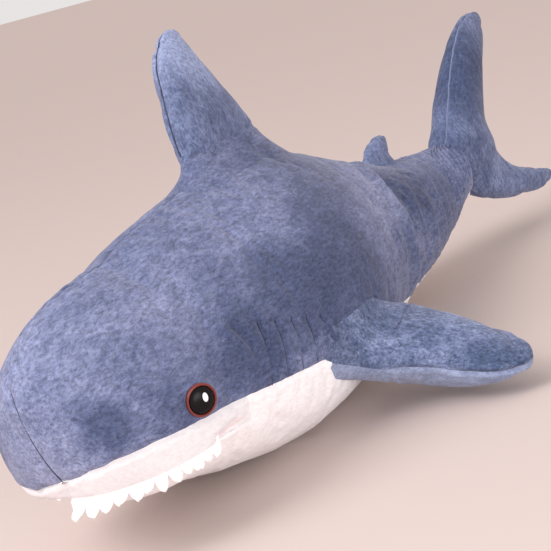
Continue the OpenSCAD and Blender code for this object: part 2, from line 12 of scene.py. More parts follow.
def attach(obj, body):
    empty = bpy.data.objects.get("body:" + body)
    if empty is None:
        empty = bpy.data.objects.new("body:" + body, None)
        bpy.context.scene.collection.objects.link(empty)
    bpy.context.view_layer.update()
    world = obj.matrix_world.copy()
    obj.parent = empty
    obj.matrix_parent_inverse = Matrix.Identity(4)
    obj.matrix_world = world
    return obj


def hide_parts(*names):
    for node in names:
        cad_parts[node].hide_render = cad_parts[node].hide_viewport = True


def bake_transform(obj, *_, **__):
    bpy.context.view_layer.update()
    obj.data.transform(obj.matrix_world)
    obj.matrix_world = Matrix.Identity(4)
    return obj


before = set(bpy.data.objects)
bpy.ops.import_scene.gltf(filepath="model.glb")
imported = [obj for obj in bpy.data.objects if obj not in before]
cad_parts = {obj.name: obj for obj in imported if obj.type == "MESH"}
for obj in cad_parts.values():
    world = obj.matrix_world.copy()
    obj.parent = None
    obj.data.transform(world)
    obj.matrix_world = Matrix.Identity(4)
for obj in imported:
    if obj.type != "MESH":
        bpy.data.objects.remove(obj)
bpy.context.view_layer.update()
MM = 0.001
FLOOR_GAP = 0.0003
RANDOM = np.random.default_rng(7)
SIDES = ((1, "left"), (-1, "right"))

# ---------- the body's outline, as in the CAD ----------
# [s, top, bottom, half width, height of the widest point]
STATIONS = np.array([
    [100, 218, 44, 84, 92], [146, 226, 28, 94, 89], [200, 237, 14, 106, 85], [280, 245, -4, 121, 82],
    [360, 252, -5, 129, 84], [440, 249, -2, 119, 93], [520, 224, 9, 103, 100], [600, 194, 15, 90, 102],
    [680, 170, 25, 77, 100], [760, 154, 45, 57, 102], [820, 148, 62, 41, 108], [860, 150, 72, 33, 112],
    [900, 152, 80, 27, 116]], float)
FRONT_SEAM = 88
FLANK_SEAM = np.array([
    [0, FRONT_SEAM], [14, FRONT_SEAM], [20, 95], [28, 100], [60, 102], [130, 97], [200, 88], [270, 80], [330, 66],
    [400, 58], [450, 54], [500, 44], [620, 38], [700, 46], [780, 66], [860, 86]], float)
ORIGIN_STATION = 360
SNOUT_HEIGHT, SNOUT_START, SNOUT_END = 160, 2, 146
MOUTH_HEIGHT = 75
MOUTH_CORNER = 134
FRONT_SEAM_STATION = 14
JAW_INSET = 7


def smooth(t):
    t = np.clip(t, 0, 1)
    return t * t * (3 - 2 * t)


def mix(a, b, t):
    return a + (b - a) * t


def heading(s):
    """Direction of the centre line at s: the tail turns to the left."""
    return np.radians(10 * smooth((s - 370) / 480) + 8 * smooth((s - 780) / 90))


SPINE_STEP = 5
SPINE_S = np.arange(-50, 1011, SPINE_STEP)
SPINE_X = SPINE_STEP * np.concatenate([[0], np.cumsum(np.sin(heading(SPINE_S[:-1])))])
SPINE_Y = -50 + SPINE_STEP * np.concatenate([[0], np.cumsum(np.cos(heading(SPINE_S[:-1])))])


def at(s, x, z):
    """Point at station s, x to the left of the centre line and z up, in metres."""
    s, x, z = np.broadcast_arrays(np.asarray(s, float), x, z)
    h = heading(s)
    px = np.interp(s, SPINE_S, SPINE_X) + x * np.cos(h)
    py = np.interp(s, SPINE_S, SPINE_Y) - x * np.sin(h) - ORIGIN_STATION
    return np.stack([px, py, z], -1) * MM


def station(s, column):
    """Value of a column of STATIONS at s, on a smooth curve through the rows."""
    s = np.asarray(s, float)
    i = np.clip(np.searchsorted(STATIONS[:, 0], s, side="right") - 1, 1, len(STATIONS) - 3)
    sa, sb, sd, se = (STATIONS[i + k, 0] for k in (-1, 0, 1, 2))
    a, b, d, e = (STATIONS[i + k, column] for k in (-1, 0, 1, 2))
    w = sd - sb
    t = (s - sb) / w
    m0, m1 = (d - a) / (sd - sa) * w, (e - b) / (se - sb) * w
    return (b * (2 * t**3 - 3 * t * t + 1) + m0 * (t**3 - 2 * t * t + t)
            + d * (3 * t * t - 2 * t**3) + m1 * (t**3 - t * t))


def swell(s, power):
    """How far the rounded snout has opened at s, from 0 to 1."""
    u = np.clip((s - SNOUT_START) / (SNOUT_END - SNOUT_START), 0, 1)
    return (1 - (1 - u) ** power) ** (1 / power)


def section(s, inset=0):
    """Top, bottom, half width and widest height of the section at s."""
    s = np.asarray(s, float)
    q, k = np.maximum(s, SNOUT_END), swell(s, 2)
    return (mix(SNOUT_HEIGHT, station(q, 1) - inset, k), mix(SNOUT_HEIGHT, station(q, 2) + inset, swell(s, 2.6)),
            (station(q, 3) - inset) * k, mix(SNOUT_HEIGHT, station(q, 4), k))


def back_power(s):
    """How square the upper half of the section at s is."""
    return mix(1.4, 1.3, np.clip((np.asarray(s, float) - 150) / 250, 0, 1))


def section_xz(s, angle, inset=0):
    """Distance to the left and height of the skin at s and an angle."""
    top, bottom, half, widest = section(s, inset)
    a = np.radians(angle)
    power = np.where(np.cos(a) >= 0, back_power(s), 0.78)
    x = half * np.abs(np.sin(a)) ** power * np.sign(np.sin(a))
    z = widest + np.where(np.cos(a) >= 0, top - widest, widest - bottom) * np.cos(a)
    return x, np.maximum(inset, z)


def skin_point(s, angle, inset=0):
    x, z = section_xz(s, angle, inset)
    return at(s, x, z)


def angle_at(s, z):
    """Angle at which the section at s passes the height z; 180 where it lies wholly above z."""
    top, bottom, _, widest = section(s)
    room = np.where(z > widest, top - widest, widest - bottom)
    return np.degrees(np.arccos(np.clip((z - widest) / np.maximum(1, room), -1, 1)))


def seam_angle(s):
    return angle_at(s, np.interp(s, FLANK_SEAM[:, 0], FLANK_SEAM[:, 1]))


# ---------- grids of points and meshes ----------
def weld(grid, around):
    """Points and faces of a grid, with points that coincide made one. index says where each grid point went."""
    rows, cols = grid.shape[:2]
    flat = grid.reshape(-1, 3)
    _, first, index = np.unique(np.round(flat / 1e-6).astype(np.int64), axis=0, return_index=True,
                                return_inverse=True)
    index = index.reshape(-1)
    points = flat[first]
    last = cols if around else cols - 1
    faces = []
    for i in range(rows - 1):
        for j in range(last):
            k = (j + 1) % cols
            quad = [index[a * cols + b] for a, b in ((i, j), (i, k), (i + 1, k), (i + 1, j))]
            face = [q for n, q in enumerate(quad) if q != quad[n - 1]]
            if len(set(face)) > 2:
                faces.append([int(q) for q in face])
    return points, faces, index


def mesh_object(name, points, faces):
    mesh = bpy.data.meshes.new(name)
    mesh.from_pydata([tuple(p) for p in points], [], faces)
    mesh.validate()
    mesh.update()
    obj = bpy.data.objects.new(name, mesh)
    bpy.context.scene.collection.objects.link(obj)
    mesh.shade_smooth()
    return obj


def read_points(mesh):
    co = np.empty(len(mesh.vertices) * 3, np.float32)
    mesh.vertices.foreach_get("co", co)
    return co.reshape(-1, 3).astype(float)


def normals_of(grid, around):
    """Unit normals at the points of a grid."""
    if around:
        across = np.roll(grid, -1, 1) - np.roll(grid, 1, 1)
    else:
        across = np.gradient(grid, axis=1)
    along = np.gradient(grid, axis=0)
    n = np.cross(across, along)
    return n / np.maximum(np.linalg.norm(n, axis=-1, keepdims=True), 1e-12)


def refine(values, axis, around=False):
    """Twice as fine along an axis, on a smooth curve through the given values."""
    v = np.moveaxis(values, axis, 0)
    n = len(v)
    take = (lambda k: v[(np.arange(n) + k) % n]) if around else (lambda k: v[np.clip(np.arange(n) + k, 0, n - 1)])
    middle = (-take(-1) + 9 * take(0) + 9 * take(1) - take(2)) / 16
    fine = np.empty((2 * n,) + v.shape[1:])
    fine[0::2], fine[1::2] = v, middle
    return np.moveaxis(fine if around else fine[:-1], 0, axis)


def crease(grid, normals, route, depth, width, ridge=0.0, fade=0.15, gap=2.2):
    """Displacement along the normals that sinks a groove into the grid along a route of points (metres).
    Ridges swell on both sides of the groove, and it fades at both ends."""
    route = np.asarray(route, float)
    low, high = route.min(0) - 8 * width, route.max(0) + 8 * width
    out = np.zeros(grid.shape[:2])
    near = np.all((grid > low) & (grid < high), -1)
    p = grid[near]
    if not len(p):
        return out
    best, where = np.full(len(p), 1e9), np.zeros(len(p))
    for i, (a, b) in enumerate(zip(route, route[1:])):
        d = b - a
        t = np.clip(((p - a) @ d) / max(d @ d, 1e-12), 0, 1)
        far = np.linalg.norm(p - a - t[:, None] * d, axis=1)
        closer = far < best
        best[closer], where[closer] = far[closer], (i + t[closer]) / (len(route) - 1)
    ends = smooth(where / fade) * smooth((1 - where) / fade) if fade else 1.0
    r = best / width
    out[near] = ends * (-depth * np.exp(-r * r) + ridge * np.exp(-((r - gap) ** 2)))
    return out


def curve_through(points, count):
    """count points on a smooth curve through a few."""
    p = np.asarray(points, float)
    p = np.vstack([2 * p[0] - p[1], p, 2 * p[-1] - p[-2]])
    u = np.linspace(0, len(p) - 3 - 1e-9, count)
    i = u.astype(int)
    t = (u - i)[:, None]
    a, b, c, d = p[i], p[i + 1], p[i + 2], p[i + 3]
    return 0.5 * (2 * b + (c - a) * t + (2 * a - 5 * b + 4 * c - d) * t**2 + (3 * b - a - 3 * c + d) * t**3)


def tube(route, radius, sides=8):
    """Closed tube along a route of points, in metres."""
    route = np.asarray(route, float)
    tangent = np.gradient(route, axis=0)
    tangent /= np.linalg.norm(tangent, axis=1, keepdims=True)
    up = np.where(np.abs(tangent[:, 2:]) > 0.8, [[1.0, 0, 0]], [[0, 0, 1.0]])
    u = np.cross(tangent, up)
    u /= np.linalg.norm(u, axis=1, keepdims=True)
    v = np.cross(tangent, u)
    turn = np.linspace(0, 2 * np.pi, sides, endpoint=False)
    ends = np.ones(len(route))
    ends[[0, -1]] = 0.5
    ring = (route[:, None] + (radius * ends)[:, None, None]
            * (np.cos(turn)[None, :, None] * u[:, None] + np.sin(turn)[None, :, None] * v[:, None]))
    points, faces, index = weld(ring, True)
    n = len(points)
    first, last = index[:sides], index[-sides:]
    faces += [[int(first[(k + 1) % sides]), int(first[k]), n] for k in range(sides)]
    faces += [[int(last[k]), int(last[(k + 1) % sides]), n + 1] for k in range(sides)]
    return np.vstack([points, route[0], route[-1]]), [f[::-1] for f in faces]


def joined(name, parts):
    """One object from several (points, faces) pairs."""
    points, faces, base = [], [], 0
    for p, f in parts:
        points.append(np.asarray(p))
        faces += [[q + base for q in face] for face in f]
        base += len(p)
    return mesh_object(name, np.vstack(points), faces)


# ---------- cloth ----------
def plump(grid, around, pinned, slack, pressure=4.0, cap=6.0, frames=20):
    """Lets a closed bag of cloth, a grid of points, fill out under pressure, held at its pinned points.
    slack is how much larger the cloth is than the bag, which wrinkles it along the seams."""
    points, faces, index = weld(grid, around)
    obj = mesh_object("cloth_work", points, faces)
    pins = obj.vertex_groups.new(name="pins")
    held = np.zeros(len(points))
    np.maximum.at(held, index, pinned.reshape(-1))
    for weight in np.unique(held[held > 0]):
        pins.add([int(k) for k in np.nonzero(held == weight)[0]], float(weight), "REPLACE")
    cloth = obj.modifiers.new("Cloth", "CLOTH")
    setting = cloth.settings
    setting.quality = 4
    setting.mass = 0.25
    setting.tension_stiffness = 12
    setting.compression_stiffness = 12
    setting.shear_stiffness = 6
    setting.bending_stiffness = 0.4
    setting.use_pressure = True
    setting.uniform_pressure_force = pressure
    setting.effector_weights.gravity = 0
    setting.shrink_min = -slack
    setting.vertex_group_mass = "pins"
    cloth.collision_settings.use_collision = False
    cloth.collision_settings.use_self_collision = False
    scene = bpy.context.scene
    for step in range(1, frames + 1):
        scene.frame_set(step)
    evaluated = obj.evaluated_get(bpy.context.evaluated_depsgraph_get())
    moved = read_points(evaluated.data) - points
    far = np.linalg.norm(moved, axis=1, keepdims=True)
    moved *= np.minimum(1, cap * MM / np.maximum(far, 1e-9))
    mesh = obj.data
    bpy.data.objects.remove(obj)
    bpy.data.meshes.remove(mesh)
    scene.frame_set(1)
    return (points + moved)[index].reshape(grid.shape)


# ---------- where the fins stand ----------
def fin_frame(corner, u, w, twist=None):
    """Corner, u towards the tail, w outwards, n across, and the twist in degrees at a height w."""
    u, w = np.asarray(u, float), np.asarray(w, float)
    u = u / np.linalg.norm(u)
    w = w - (w @ u) * u
    w = w / np.linalg.norm(w)
    return np.asarray(corner, float) * MM, u, w, np.cross(u, w), twist or (lambda h: 0 * h)


def pectoral_frame(side):
    u = np.array([-0.05 * side, 0.975, 0.22])
    droop = math.radians(13)
    return fin_frame([side * 115, 306 - ORIGIN_STATION, 55], u, [side * math.cos(droop), 0.1, -math.sin(droop)])


def along(place, u, w):
    """Point of a fin's own plane, in metres."""
    return tuple(float(v) for v in place[0] + (place[1] * u + place[2] * w) * MM)


dorsal_place = fin_frame([-2, 322 - ORIGIN_STATION, 257], [0, 1, 0],
                         [-math.sin(math.radians(18)), 0, math.cos(math.radians(18))])
h = float(heading(691))
slope = math.radians(-12)
rear_u = np.array([math.sin(h), math.cos(h), math.sin(slope)])
rear_place = fin_frame(at(661, 0, 179) / MM, rear_u, [0, 0, 1])
h = float(heading(866))
caudal_place = fin_frame(at(866, 0, 112) / MM, [math.sin(h), math.cos(h), 0], [0, 0, 1],
                         lambda w: -np.sign(w) * 10 * smooth(np.abs(w) / 50))


# ---------- materials ----------
MARK_WOBBLE = 0.07


def new_material(name):
    mat = bpy.data.materials.new(name)
    mat.use_nodes = True
    return mat


def set_inputs(mat, node, inputs):
    """Links the inputs whose value is a socket, and sets the others."""
    for key, value in inputs.items():
        if isinstance(value, bpy.types.NodeSocket):
            mat.node_tree.links.new(value, node.inputs[key])
        else:
            node.inputs[key].default_value = value


def add_node(mat, kind, inputs, output=0, **settings):
    """Adds a shader node and gives one of its outputs."""
    node = mat.node_tree.nodes.new("ShaderNode" + kind)
    for key, value in settings.items():
        setattr(node, key, value)
    set_inputs(mat, node, inputs)
    return node.outputs[output]


def set_surface(mat, **inputs):
    """Sets inputs of the material's own shader. An underscore in a name stands for a space."""
    named = {key.replace("_", " "): value for key, value in inputs.items()}
    set_inputs(mat, mat.node_tree.nodes["Principled BSDF"], named)


def object_place(mat):
    return add_node(mat, "TexCoord", {}, "Object")


def noise_node(mat, vector, scale, detail, output="Fac", **more):
    return add_node(mat, "TexNoise", {"Vector": vector, "Scale": scale, "Detail": detail, **more}, output)


def ramp_node(mat, value, stops, interpolation="LINEAR"):
    """Colours along a value. stops are (position, colour)."""
    node = mat.node_tree.nodes.new("ShaderNodeValToRGB")
    node.color_ramp.interpolation = interpolation
    elements = node.color_ramp.elements
    elements[0].position, elements[1].position = stops[0][0], stops[-1][0]
    for position, _ in stops[1:-1]:
        elements.new(position)
    for element, (_, colour) in zip(elements, stops):
        element.color = (*colour, 1)
    set_inputs(mat, node, {"Fac": value})
    return node.outputs["Color"]


def fade_out(mat, value, start, end, strength, **settings):
    """strength where the value is below start, falling to 0 at end."""
    return add_node(mat, "MapRange", {"Value": value, "From Min": start, "From Max": end, "To Min": strength,
                                      "To Max": 0.0}, **settings)


def plush(name, colours, stretch=(1, 0.4, 1), pile=1.0, patch_scale=11, sheen=0.25, sheen_tint=(0.95, 0.9, 0.98),
          marks=(), contrast=1.5):
    """Short dense pile: nap patches, strokes of pile along the nap, and fine fibres.
    colours are dark, middle and light, from pile laid one way to pile laid the other.
    marks are places of painted light and shade, in some of them also pile laid the other way: [centre, radius in
    metres, how much lighter]."""
    mat = new_material(name)
    place = object_place(mat)
    nap = add_node(mat, "Mapping", {"Vector": place, "Scale": stretch})

    def maths(kind, *values):
        return add_node(mat, "Math", dict(enumerate(values)), operation=kind)

    def vectors(kind, *values, output=0):
        return add_node(mat, "VectorMath", dict(enumerate(values)), output, operation=kind)

    patches = noise_node(mat, place, patch_scale, 3, Roughness=0.6, Distortion=0.6)
    clumps = noise_node(mat, nap, 120, 3, Roughness=0.65, Distortion=0.4)
    strokes = noise_node(mat, nap, 380, 2, Roughness=0.6, Distortion=0.3)
    fibres = noise_node(mat, nap, 1100, 1, Roughness=0.5)
    nap_and_shading = maths("MULTIPLY_ADD", patches, 0.55, 0.265 - 0.16 * contrast)
    nap_and_shading = maths("ADD", nap_and_shading, maths("MULTIPLY", clumps, 0.32 * contrast))
    # The painted light and shade marks have ragged outlines: their distances are measured from a place that
    # wobbles
    wobble = noise_node(mat, place, 14, 3, "Color")
    ragged = vectors("MULTIPLY_ADD", wobble, (MARK_WOBBLE,) * 3, place)
    # Each mark adds painted light, or painted shade where its amount is below 0, fading out from its centre
    for centre, radius, lighter in marks:
        away = vectors("DISTANCE", ragged, [c + MARK_WOBBLE / 2 for c in centre], output="Value")
        painted_shading_spot = fade_out(mat, away, 0.25 * radius, radius, lighter, interpolation_type="SMOOTHSTEP")
        nap_and_shading = maths("ADD", nap_and_shading, painted_shading_spot)
    nap_and_shading_colour = ramp_node(mat, nap_and_shading, list(zip((0.28, 0.54, 0.82), colours)), "B_SPLINE")
    # Each stroke of pile is a little lighter or darker than the nap it lies in
    tone = maths("MULTIPLY_ADD", strokes, 1.1 * contrast, 1.0 - 0.55 * contrast)
    tone = maths("ADD", tone, maths("MULTIPLY_ADD", fibres, 0.5 * contrast, -0.25 * contrast))
    shade = add_node(mat, "VectorMath", {0: nap_and_shading_colour, "Scale": tone}, operation="SCALE")
    height = maths("ADD", maths("MULTIPLY", strokes, 0.7), maths("MULTIPLY", fibres, 0.3))
    height = maths("ADD", height, maths("MULTIPLY", clumps, 1.1))
    bump = add_node(mat, "Bump", {"Height": height, "Strength": 0.55, "Distance": 0.0016 * pile})
    set_surface(mat, Base_Color=shade, Roughness=0.92, Specular_IOR_Level=0.12, Sheen_Weight=sheen,
                Sheen_Roughness=0.45, Sheen_Tint=(*sheen_tint, 1), Normal=bump)
    return mat


def cloth_material(name, colour, second, scale, roughness=0.8):
    """Felt, woven lining or tape: fine mottled colour and a fine matted surface."""
    mat = new_material(name)
    mottle = noise_node(mat, object_place(mat), scale, 4)
    bump = add_node(mat, "Bump", {"Height": mottle, "Strength": 0.5, "Distance": 0.0004})
    set_surface(mat, Base_Color=ramp_node(mat, mottle, [(0.3, second), (0.65, colour)]), Roughness=roughness,
                Specular_IOR_Level=0.2, Sheen_Weight=0.2, Normal=bump)
    return mat


def gloss_material(name, colour, second, roughness, coat, specular):
    """Polished plastic with a faint cloudy variation."""
    mat = new_material(name)
    cloud = noise_node(mat, object_place(mat), 160, 3)
    set_surface(mat, Base_Color=ramp_node(mat, cloud, [(0, colour), (1, second)]), Roughness=roughness,
                Coat_Weight=coat, Coat_Roughness=0.03, Specular_IOR_Level=specular)
    return mat


def body_marks(*marks):
    """Marks of painted light and shade (s, angle, radius, how much lighter) on both flanks."""
    return [(tuple(skin_point(s, side * a)), radius * MM, lighter)
            for s, a, radius, lighter in marks for side in (1, -1)]


def fin_marks(places, *marks):
    """Marks of painted light and shade (u, w, radius, how much lighter) on fins."""
    return [(along(place, u, w), radius * MM, lighter) for place in places for u, w, radius, lighter in marks]


SIDE_FINS = [pectoral_frame(side) for side in (1, -1)]
# Painted light and shade on the blue plush: lighter on the snout, along the back and in front of the large fold;
# darker beside the front seam, by the gills, round the side fins, on the back, behind the large fold and towards
# the tail
BLUE = plush("plush_blue", [(0.055, 0.070, 0.138), (0.123, 0.146, 0.265), (0.288, 0.308, 0.466)],
             marks=body_marks(
    (8, 150, 75, 0.08), (24, 46, 55, 0.10), (45, 62, 40, 0.02), (63, 20, 55, 0.02), (129, 31, 80, 0.04),
    (243, 30, 110, 0.02), (30, 84, 30, -0.26), (80, 84, 40, -0.10), (276, 67, 80, -0.22), (360, 69, 95, -0.24),
    (540, 60, 60, 0.12), (640, 50, 70, -0.26), (417, 36, 90, -0.14), (720, 72, 90, -0.16), (190, 75, 55, -0.26)))
# Painted light on the dorsal fin and on the tail fin's lower lobe; painted shade near the dorsal fin's foot and on
# the tail fin's upper lobe
BLUE_FIN = plush("plush_blue_fin", [(0.052, 0.070, 0.140), (0.113, 0.140, 0.250), (0.265, 0.310, 0.490)],
                 stretch=(1, 1, 0.5), patch_scale=15,
                 marks=fin_marks([dorsal_place], (85, 98, 66, 0.38), (60, 30, 40, -0.06))
                 + fin_marks([caudal_place], (60, -30, 60, 0.06), (40, 110, 90, -0.26)))
# Painted light and shade on the side fins, in part pile laid the other way: lighter near the foot and in the
# middle, darker out towards the tip
BLUE_SIDE = plush("plush_blue_side_fin", [(0.045, 0.067, 0.130), (0.102, 0.131, 0.236), (0.265, 0.312, 0.482)],
                  stretch=(0.7, 1, 1), patch_scale=17, contrast=2.0, marks=fin_marks(
                      SIDE_FINS, (95, 30, 50, 0.14), (20, 28, 40, 0.16), (55, 85, 24, 0.12), (30, 140, 40, -0.16)))
BLUE_UNDER = plush("plush_blue_under", [(0.150, 0.183, 0.300), (0.248, 0.288, 0.434), (0.385, 0.424, 0.585)],
                   stretch=(0.7, 1, 1), patch_scale=22, contrast=1.0)
WHITE = plush("plush_white", [(0.860, 0.800, 0.815), (0.910, 0.865, 0.880), (0.950, 0.915, 0.930)],
              pile=0.4, patch_scale=14, sheen=0.15, sheen_tint=(1, 0.97, 0.96), contrast=0.35)
# The lip's white is a darker copy of the belly's white plush: painted shade on the well-lit lip
SHADED_LIP_WHITE = plush("plush_white_lip", [(0.750, 0.705, 0.725), (0.800, 0.765, 0.785), (0.850, 0.820, 0.840)],
                  pile=0.4, patch_scale=14, sheen=0.10, sheen_tint=(1, 0.97, 0.96), contrast=0.25)
FELT = cloth_material("white_felt", (0.97, 0.95, 0.95), (0.92, 0.88, 0.88), 700)
PALE_PINK = cloth_material("pale_pink_fold", (0.84, 0.62, 0.61), (0.78, 0.54, 0.53), 500)
PINK = cloth_material("pink_lining", (0.74, 0.40, 0.38), (0.62, 0.29, 0.28), 500)
THREAD = cloth_material("dark_blue_thread", (0.045, 0.055, 0.105), (0.025, 0.031, 0.062), 2500)
PALE_THREAD = cloth_material("pale_blue_thread", (0.190, 0.225, 0.360), (0.120, 0.145, 0.250), 900)
WHITE_THREAD = cloth_material("white_thread", (0.86, 0.82, 0.80), (0.70, 0.66, 0.64), 2500)
TAPE = cloth_material("label_tape", (0.90, 0.89, 0.87), (0.82, 0.81, 0.79), 1500, roughness=0.45)
PUPIL = gloss_material("eye_black", (0.006, 0.005, 0.006), (0.010, 0.008, 0.009), 0.25, 0.0, 0.12)
RIM = gloss_material("eye_rim_brown", (0.140, 0.022, 0.020), (0.220, 0.040, 0.030), 0.4, 0.2, 0.3)


def finish_piece(obj, material, slot, *nodes, fill=None):
    """Gives a piece its material and hides the CAD nodes it replaces. slot and fill are not used."""
    obj.data.materials.clear()
    obj.data.materials.append(material)
    if nodes:
        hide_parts(*nodes)
    return obj


def painted_highlight_on(mat, centre, axes, colour):
    """Painted highlight: an oval on both eyes, mirrored across the middle. axes are (direction, half size in
    millimetres).
    """
    place = object_place(mat)
    mirrored = add_node(mat, "VectorMath", {0: place}, operation="ABSOLUTE")
    parts = {"X": add_node(mat, "SeparateXYZ", {0: mirrored}, "X")}
    for key in "YZ":
        parts[key] = add_node(mat, "SeparateXYZ", {0: place}, key)
    offset = add_node(mat, "VectorMath", {0: add_node(mat, "CombineXYZ", parts), 1: tuple(centre)},
                      operation="SUBTRACT")
    squares = []
    for way, half in axes:
        dot = add_node(mat, "VectorMath", {0: offset, 1: tuple(way / (half * MM))}, "Value",
                       operation="DOT_PRODUCT")
        squares.append(add_node(mat, "Math", {0: dot, 1: dot}, operation="MULTIPLY"))
    inside = fade_out(mat, add_node(mat, "Math", dict(enumerate(squares))), 0.8, 1.15, 1.0)
    under = mat.node_tree.nodes["Principled BSDF"].inputs["Base Color"].links[0].from_socket
    with_highlight = add_node(mat, "Mix", {"Factor": inside, 6: under, 7: (*colour, 1)}, 2, data_type="RGBA")
    set_surface(mat, Base_Color=with_highlight)


# ---------- body skin ----------
BLUE_COLUMNS, LIP_COLUMNS, UNDER_COLUMNS = 40, 9, 26
TAIL_SPLIT = 760
BODY_END = 886
CHIN_END = 162


def half_angles(s):
    """Angles of the left half's columns at s: blue down to the flank seam, the lip, then the underside."""
    seam = float(seam_angle(s))
    lip = float(angle_at(s, MOUTH_HEIGHT))
    at_corner = float((angle_at(MOUTH_CORNER, MOUTH_HEIGHT) - seam_angle(MOUTH_CORNER))
                      / (180 - seam_angle(MOUTH_CORNER)))
    if s > MOUTH_CORNER:
        lip = seam + (180 - seam) * mix(at_corner, 0.3, float(smooth((s - MOUTH_CORNER) / 200)))
    return np.concatenate([np.linspace(0, seam, BLUE_COLUMNS + 1), np.linspace(seam, lip, LIP_COLUMNS + 1)[1:],
                           np.linspace(lip, 180, UNDER_COLUMNS + 1)[1:]])


def body_stations():
    snout = SNOUT_START + (SNOUT_END - SNOUT_START) * (1 - np.cos(np.linspace(0, np.pi / 2, 37)))
    rear = np.linspace(SNOUT_END, TAIL_SPLIT, 111)[1:]
    stalk = np.linspace(TAIL_SPLIT, BODY_END, 61)[1:]
    return np.concatenate([snout, rear, stalk])


S = body_stations()
LEFT = np.array([half_angles(s) for s in S])
ANGLES = np.concatenate([LEFT, -LEFT[:, -2:0:-1]], 1)
# The blue of the nose is sewn on with a turn to the right, which fades out towards the back and at the mouth
NOSE_TURN, NOSE_TURN_BELOW = 24, 14
low = smooth((np.abs(ANGLES) - 35) / 55)
fading = 1 - smooth((S[:, None] - mix(20, 12, low)) / mix(110, 12, low))
TURNED = ANGLES - mix(NOSE_TURN, NOSE_TURN_BELOW, low) * fading
COLUMNS = ANGLES.shape[1]
HALF = LEFT.shape[1] - 1
# On the right the blue is stretched down a little over the front of the lip
STRETCH = 24
share = np.interp(np.arange(COLUMNS), [COLUMNS - BLUE_COLUMNS - LIP_COLUMNS, COLUMNS - BLUE_COLUMNS, COLUMNS],
                  [0, 1, 0])
TURNED = TURNED - STRETCH * share * (smooth((S - 14) / 7) * (1 - smooth((S - 22) / 55)))[:, None]


def body_grid(start_inset):
    """The body's outline, drawn in by a distance in millimetres for the pressure to fill out again."""
    grid = skin_point(S[:, None], TURNED)
    centre = at(S, 0, section(S)[3])[:, None]
    # The end past the stalk draws in, where the tail fin swallows it
    close = 1 - 0.72 * smooth((S - 838) / (BODY_END - 838))
    heart = at(S, 0, 118)[:, None]
    grid = heart + (grid - heart) * close[:, None, None]
    far = np.linalg.norm(grid - centre, axis=-1, keepdims=True)
    return grid - (grid - centre) * np.minimum(start_inset * MM / np.maximum(far, 1e-6), 0.5)


def body_pins():
    """How firmly the seams, the edges of the mouth and both ends are held."""
    pins = np.zeros((len(S), COLUMNS))
    for column in (0, BLUE_COLUMNS, COLUMNS - BLUE_COLUMNS):
        pins[:, column] = 0.9
    lips = S < MOUTH_CORNER
    for column in (BLUE_COLUMNS + LIP_COLUMNS, COLUMNS - BLUE_COLUMNS - LIP_COLUMNS):
        pins[lips, column] = 1
    pins[lips, HALF - UNDER_COLUMNS + 1:HALF + UNDER_COLUMNS] = 1
    pins[0] = pins[-1] = 1
    return pins


body = plump(body_grid(1.5), True, body_pins(), slack=0.007, pressure=3.0, cap=5)
body[..., 2] = np.maximum(body[..., 2], FLOOR_GAP)
fine = refine(refine(body, 0), 1, around=True)
FINE_S = refine(S, 0)
BODY_N = normals_of(fine, True)
if float(((fine - at(FINE_S, 0, 100)[:, None]) * BODY_N).sum()) < 0:
    BODY_N = -BODY_N
left_fine = refine(refine(np.radians(LEFT), 0), 1)[:, :2 * HALF + 1]
FINE_ANGLE = np.concatenate([left_fine, -left_fine[:, -2:0:-1]], 1)
FINE_COLUMNS = FINE_ANGLE.shape[1]
fine = fine[:, :FINE_COLUMNS]
BODY_N = BODY_N[:, :FINE_COLUMNS]
SEAM_COLUMN, LIP_COLUMN, BELLY_COLUMN = 2 * BLUE_COLUMNS, 2 * (BLUE_COLUMNS + LIP_COLUMNS), 2 * HALF


def on_body(route, lift=0.0, count=None):
    """Points (s, angle) on the finished skin, lifted by a distance in millimetres; with a count, that many
    points on a smooth curve through them."""
    route = curve_through(route, count) if count else np.asarray(route, float)
    out = []
    for s, a in route:
        i = int(np.clip(np.searchsorted(FINE_S, s) - 1, 0, len(FINE_S) - 2))
        down = np.clip((s - FINE_S[i]) / (FINE_S[i + 1] - FINE_S[i]), 0, 1)
        ends = []
        for k in (i, i + 1):
            row = np.unwrap(FINE_ANGLE[k])
            j = np.interp(np.radians(a) % (2 * np.pi), row, np.arange(len(row)), period=None)
            m = int(min(j, len(row) - 2))
            ends.append(mix(fine[k, m] + BODY_N[k, m] * lift * MM, fine[k, m + 1] + BODY_N[k, m + 1] * lift * MM,
                            j - m))
        out.append(mix(ends[0], ends[1], down))
    return np.array(out)


push = np.zeros(fine.shape[:2])
SEAM_WIDTH, SEAM_END = 2.6, 868


def seam_groove(column, rows, depth):
    """Groove of a seam along one column of the skin."""
    return crease(fine, BODY_N, fine[rows, column], depth * MM, SEAM_WIDTH * MM, ridge=0.25 * depth * MM,
                  fade=0.02)


body_rows = np.nonzero((FINE_S > 9) & (FINE_S < SEAM_END))[0]
push += seam_groove(0, np.nonzero(FINE_S < SEAM_END)[0], 2.4)
for column in (SEAM_COLUMN, FINE_COLUMNS - SEAM_COLUMN):
    push += seam_groove(column, body_rows, 1.8)

GILLS = 5


def gill_route(side, i):
    t = np.linspace(0, 1, 9)
    s = mix(209 + 18 * i, 195 + 21 * i, t) + 2.5 * np.sin(np.pi * t)
    z = mix(144 - 6 * i, 88 - 2 * i, t)
    return np.stack([s, side * angle_at(s, z)], -1)


def mouth_corner_route(side):
    return [(s, side * angle) for s, angle in ((110, 104.5), (120, 102.5), (135, 101), (156, 98.5))]


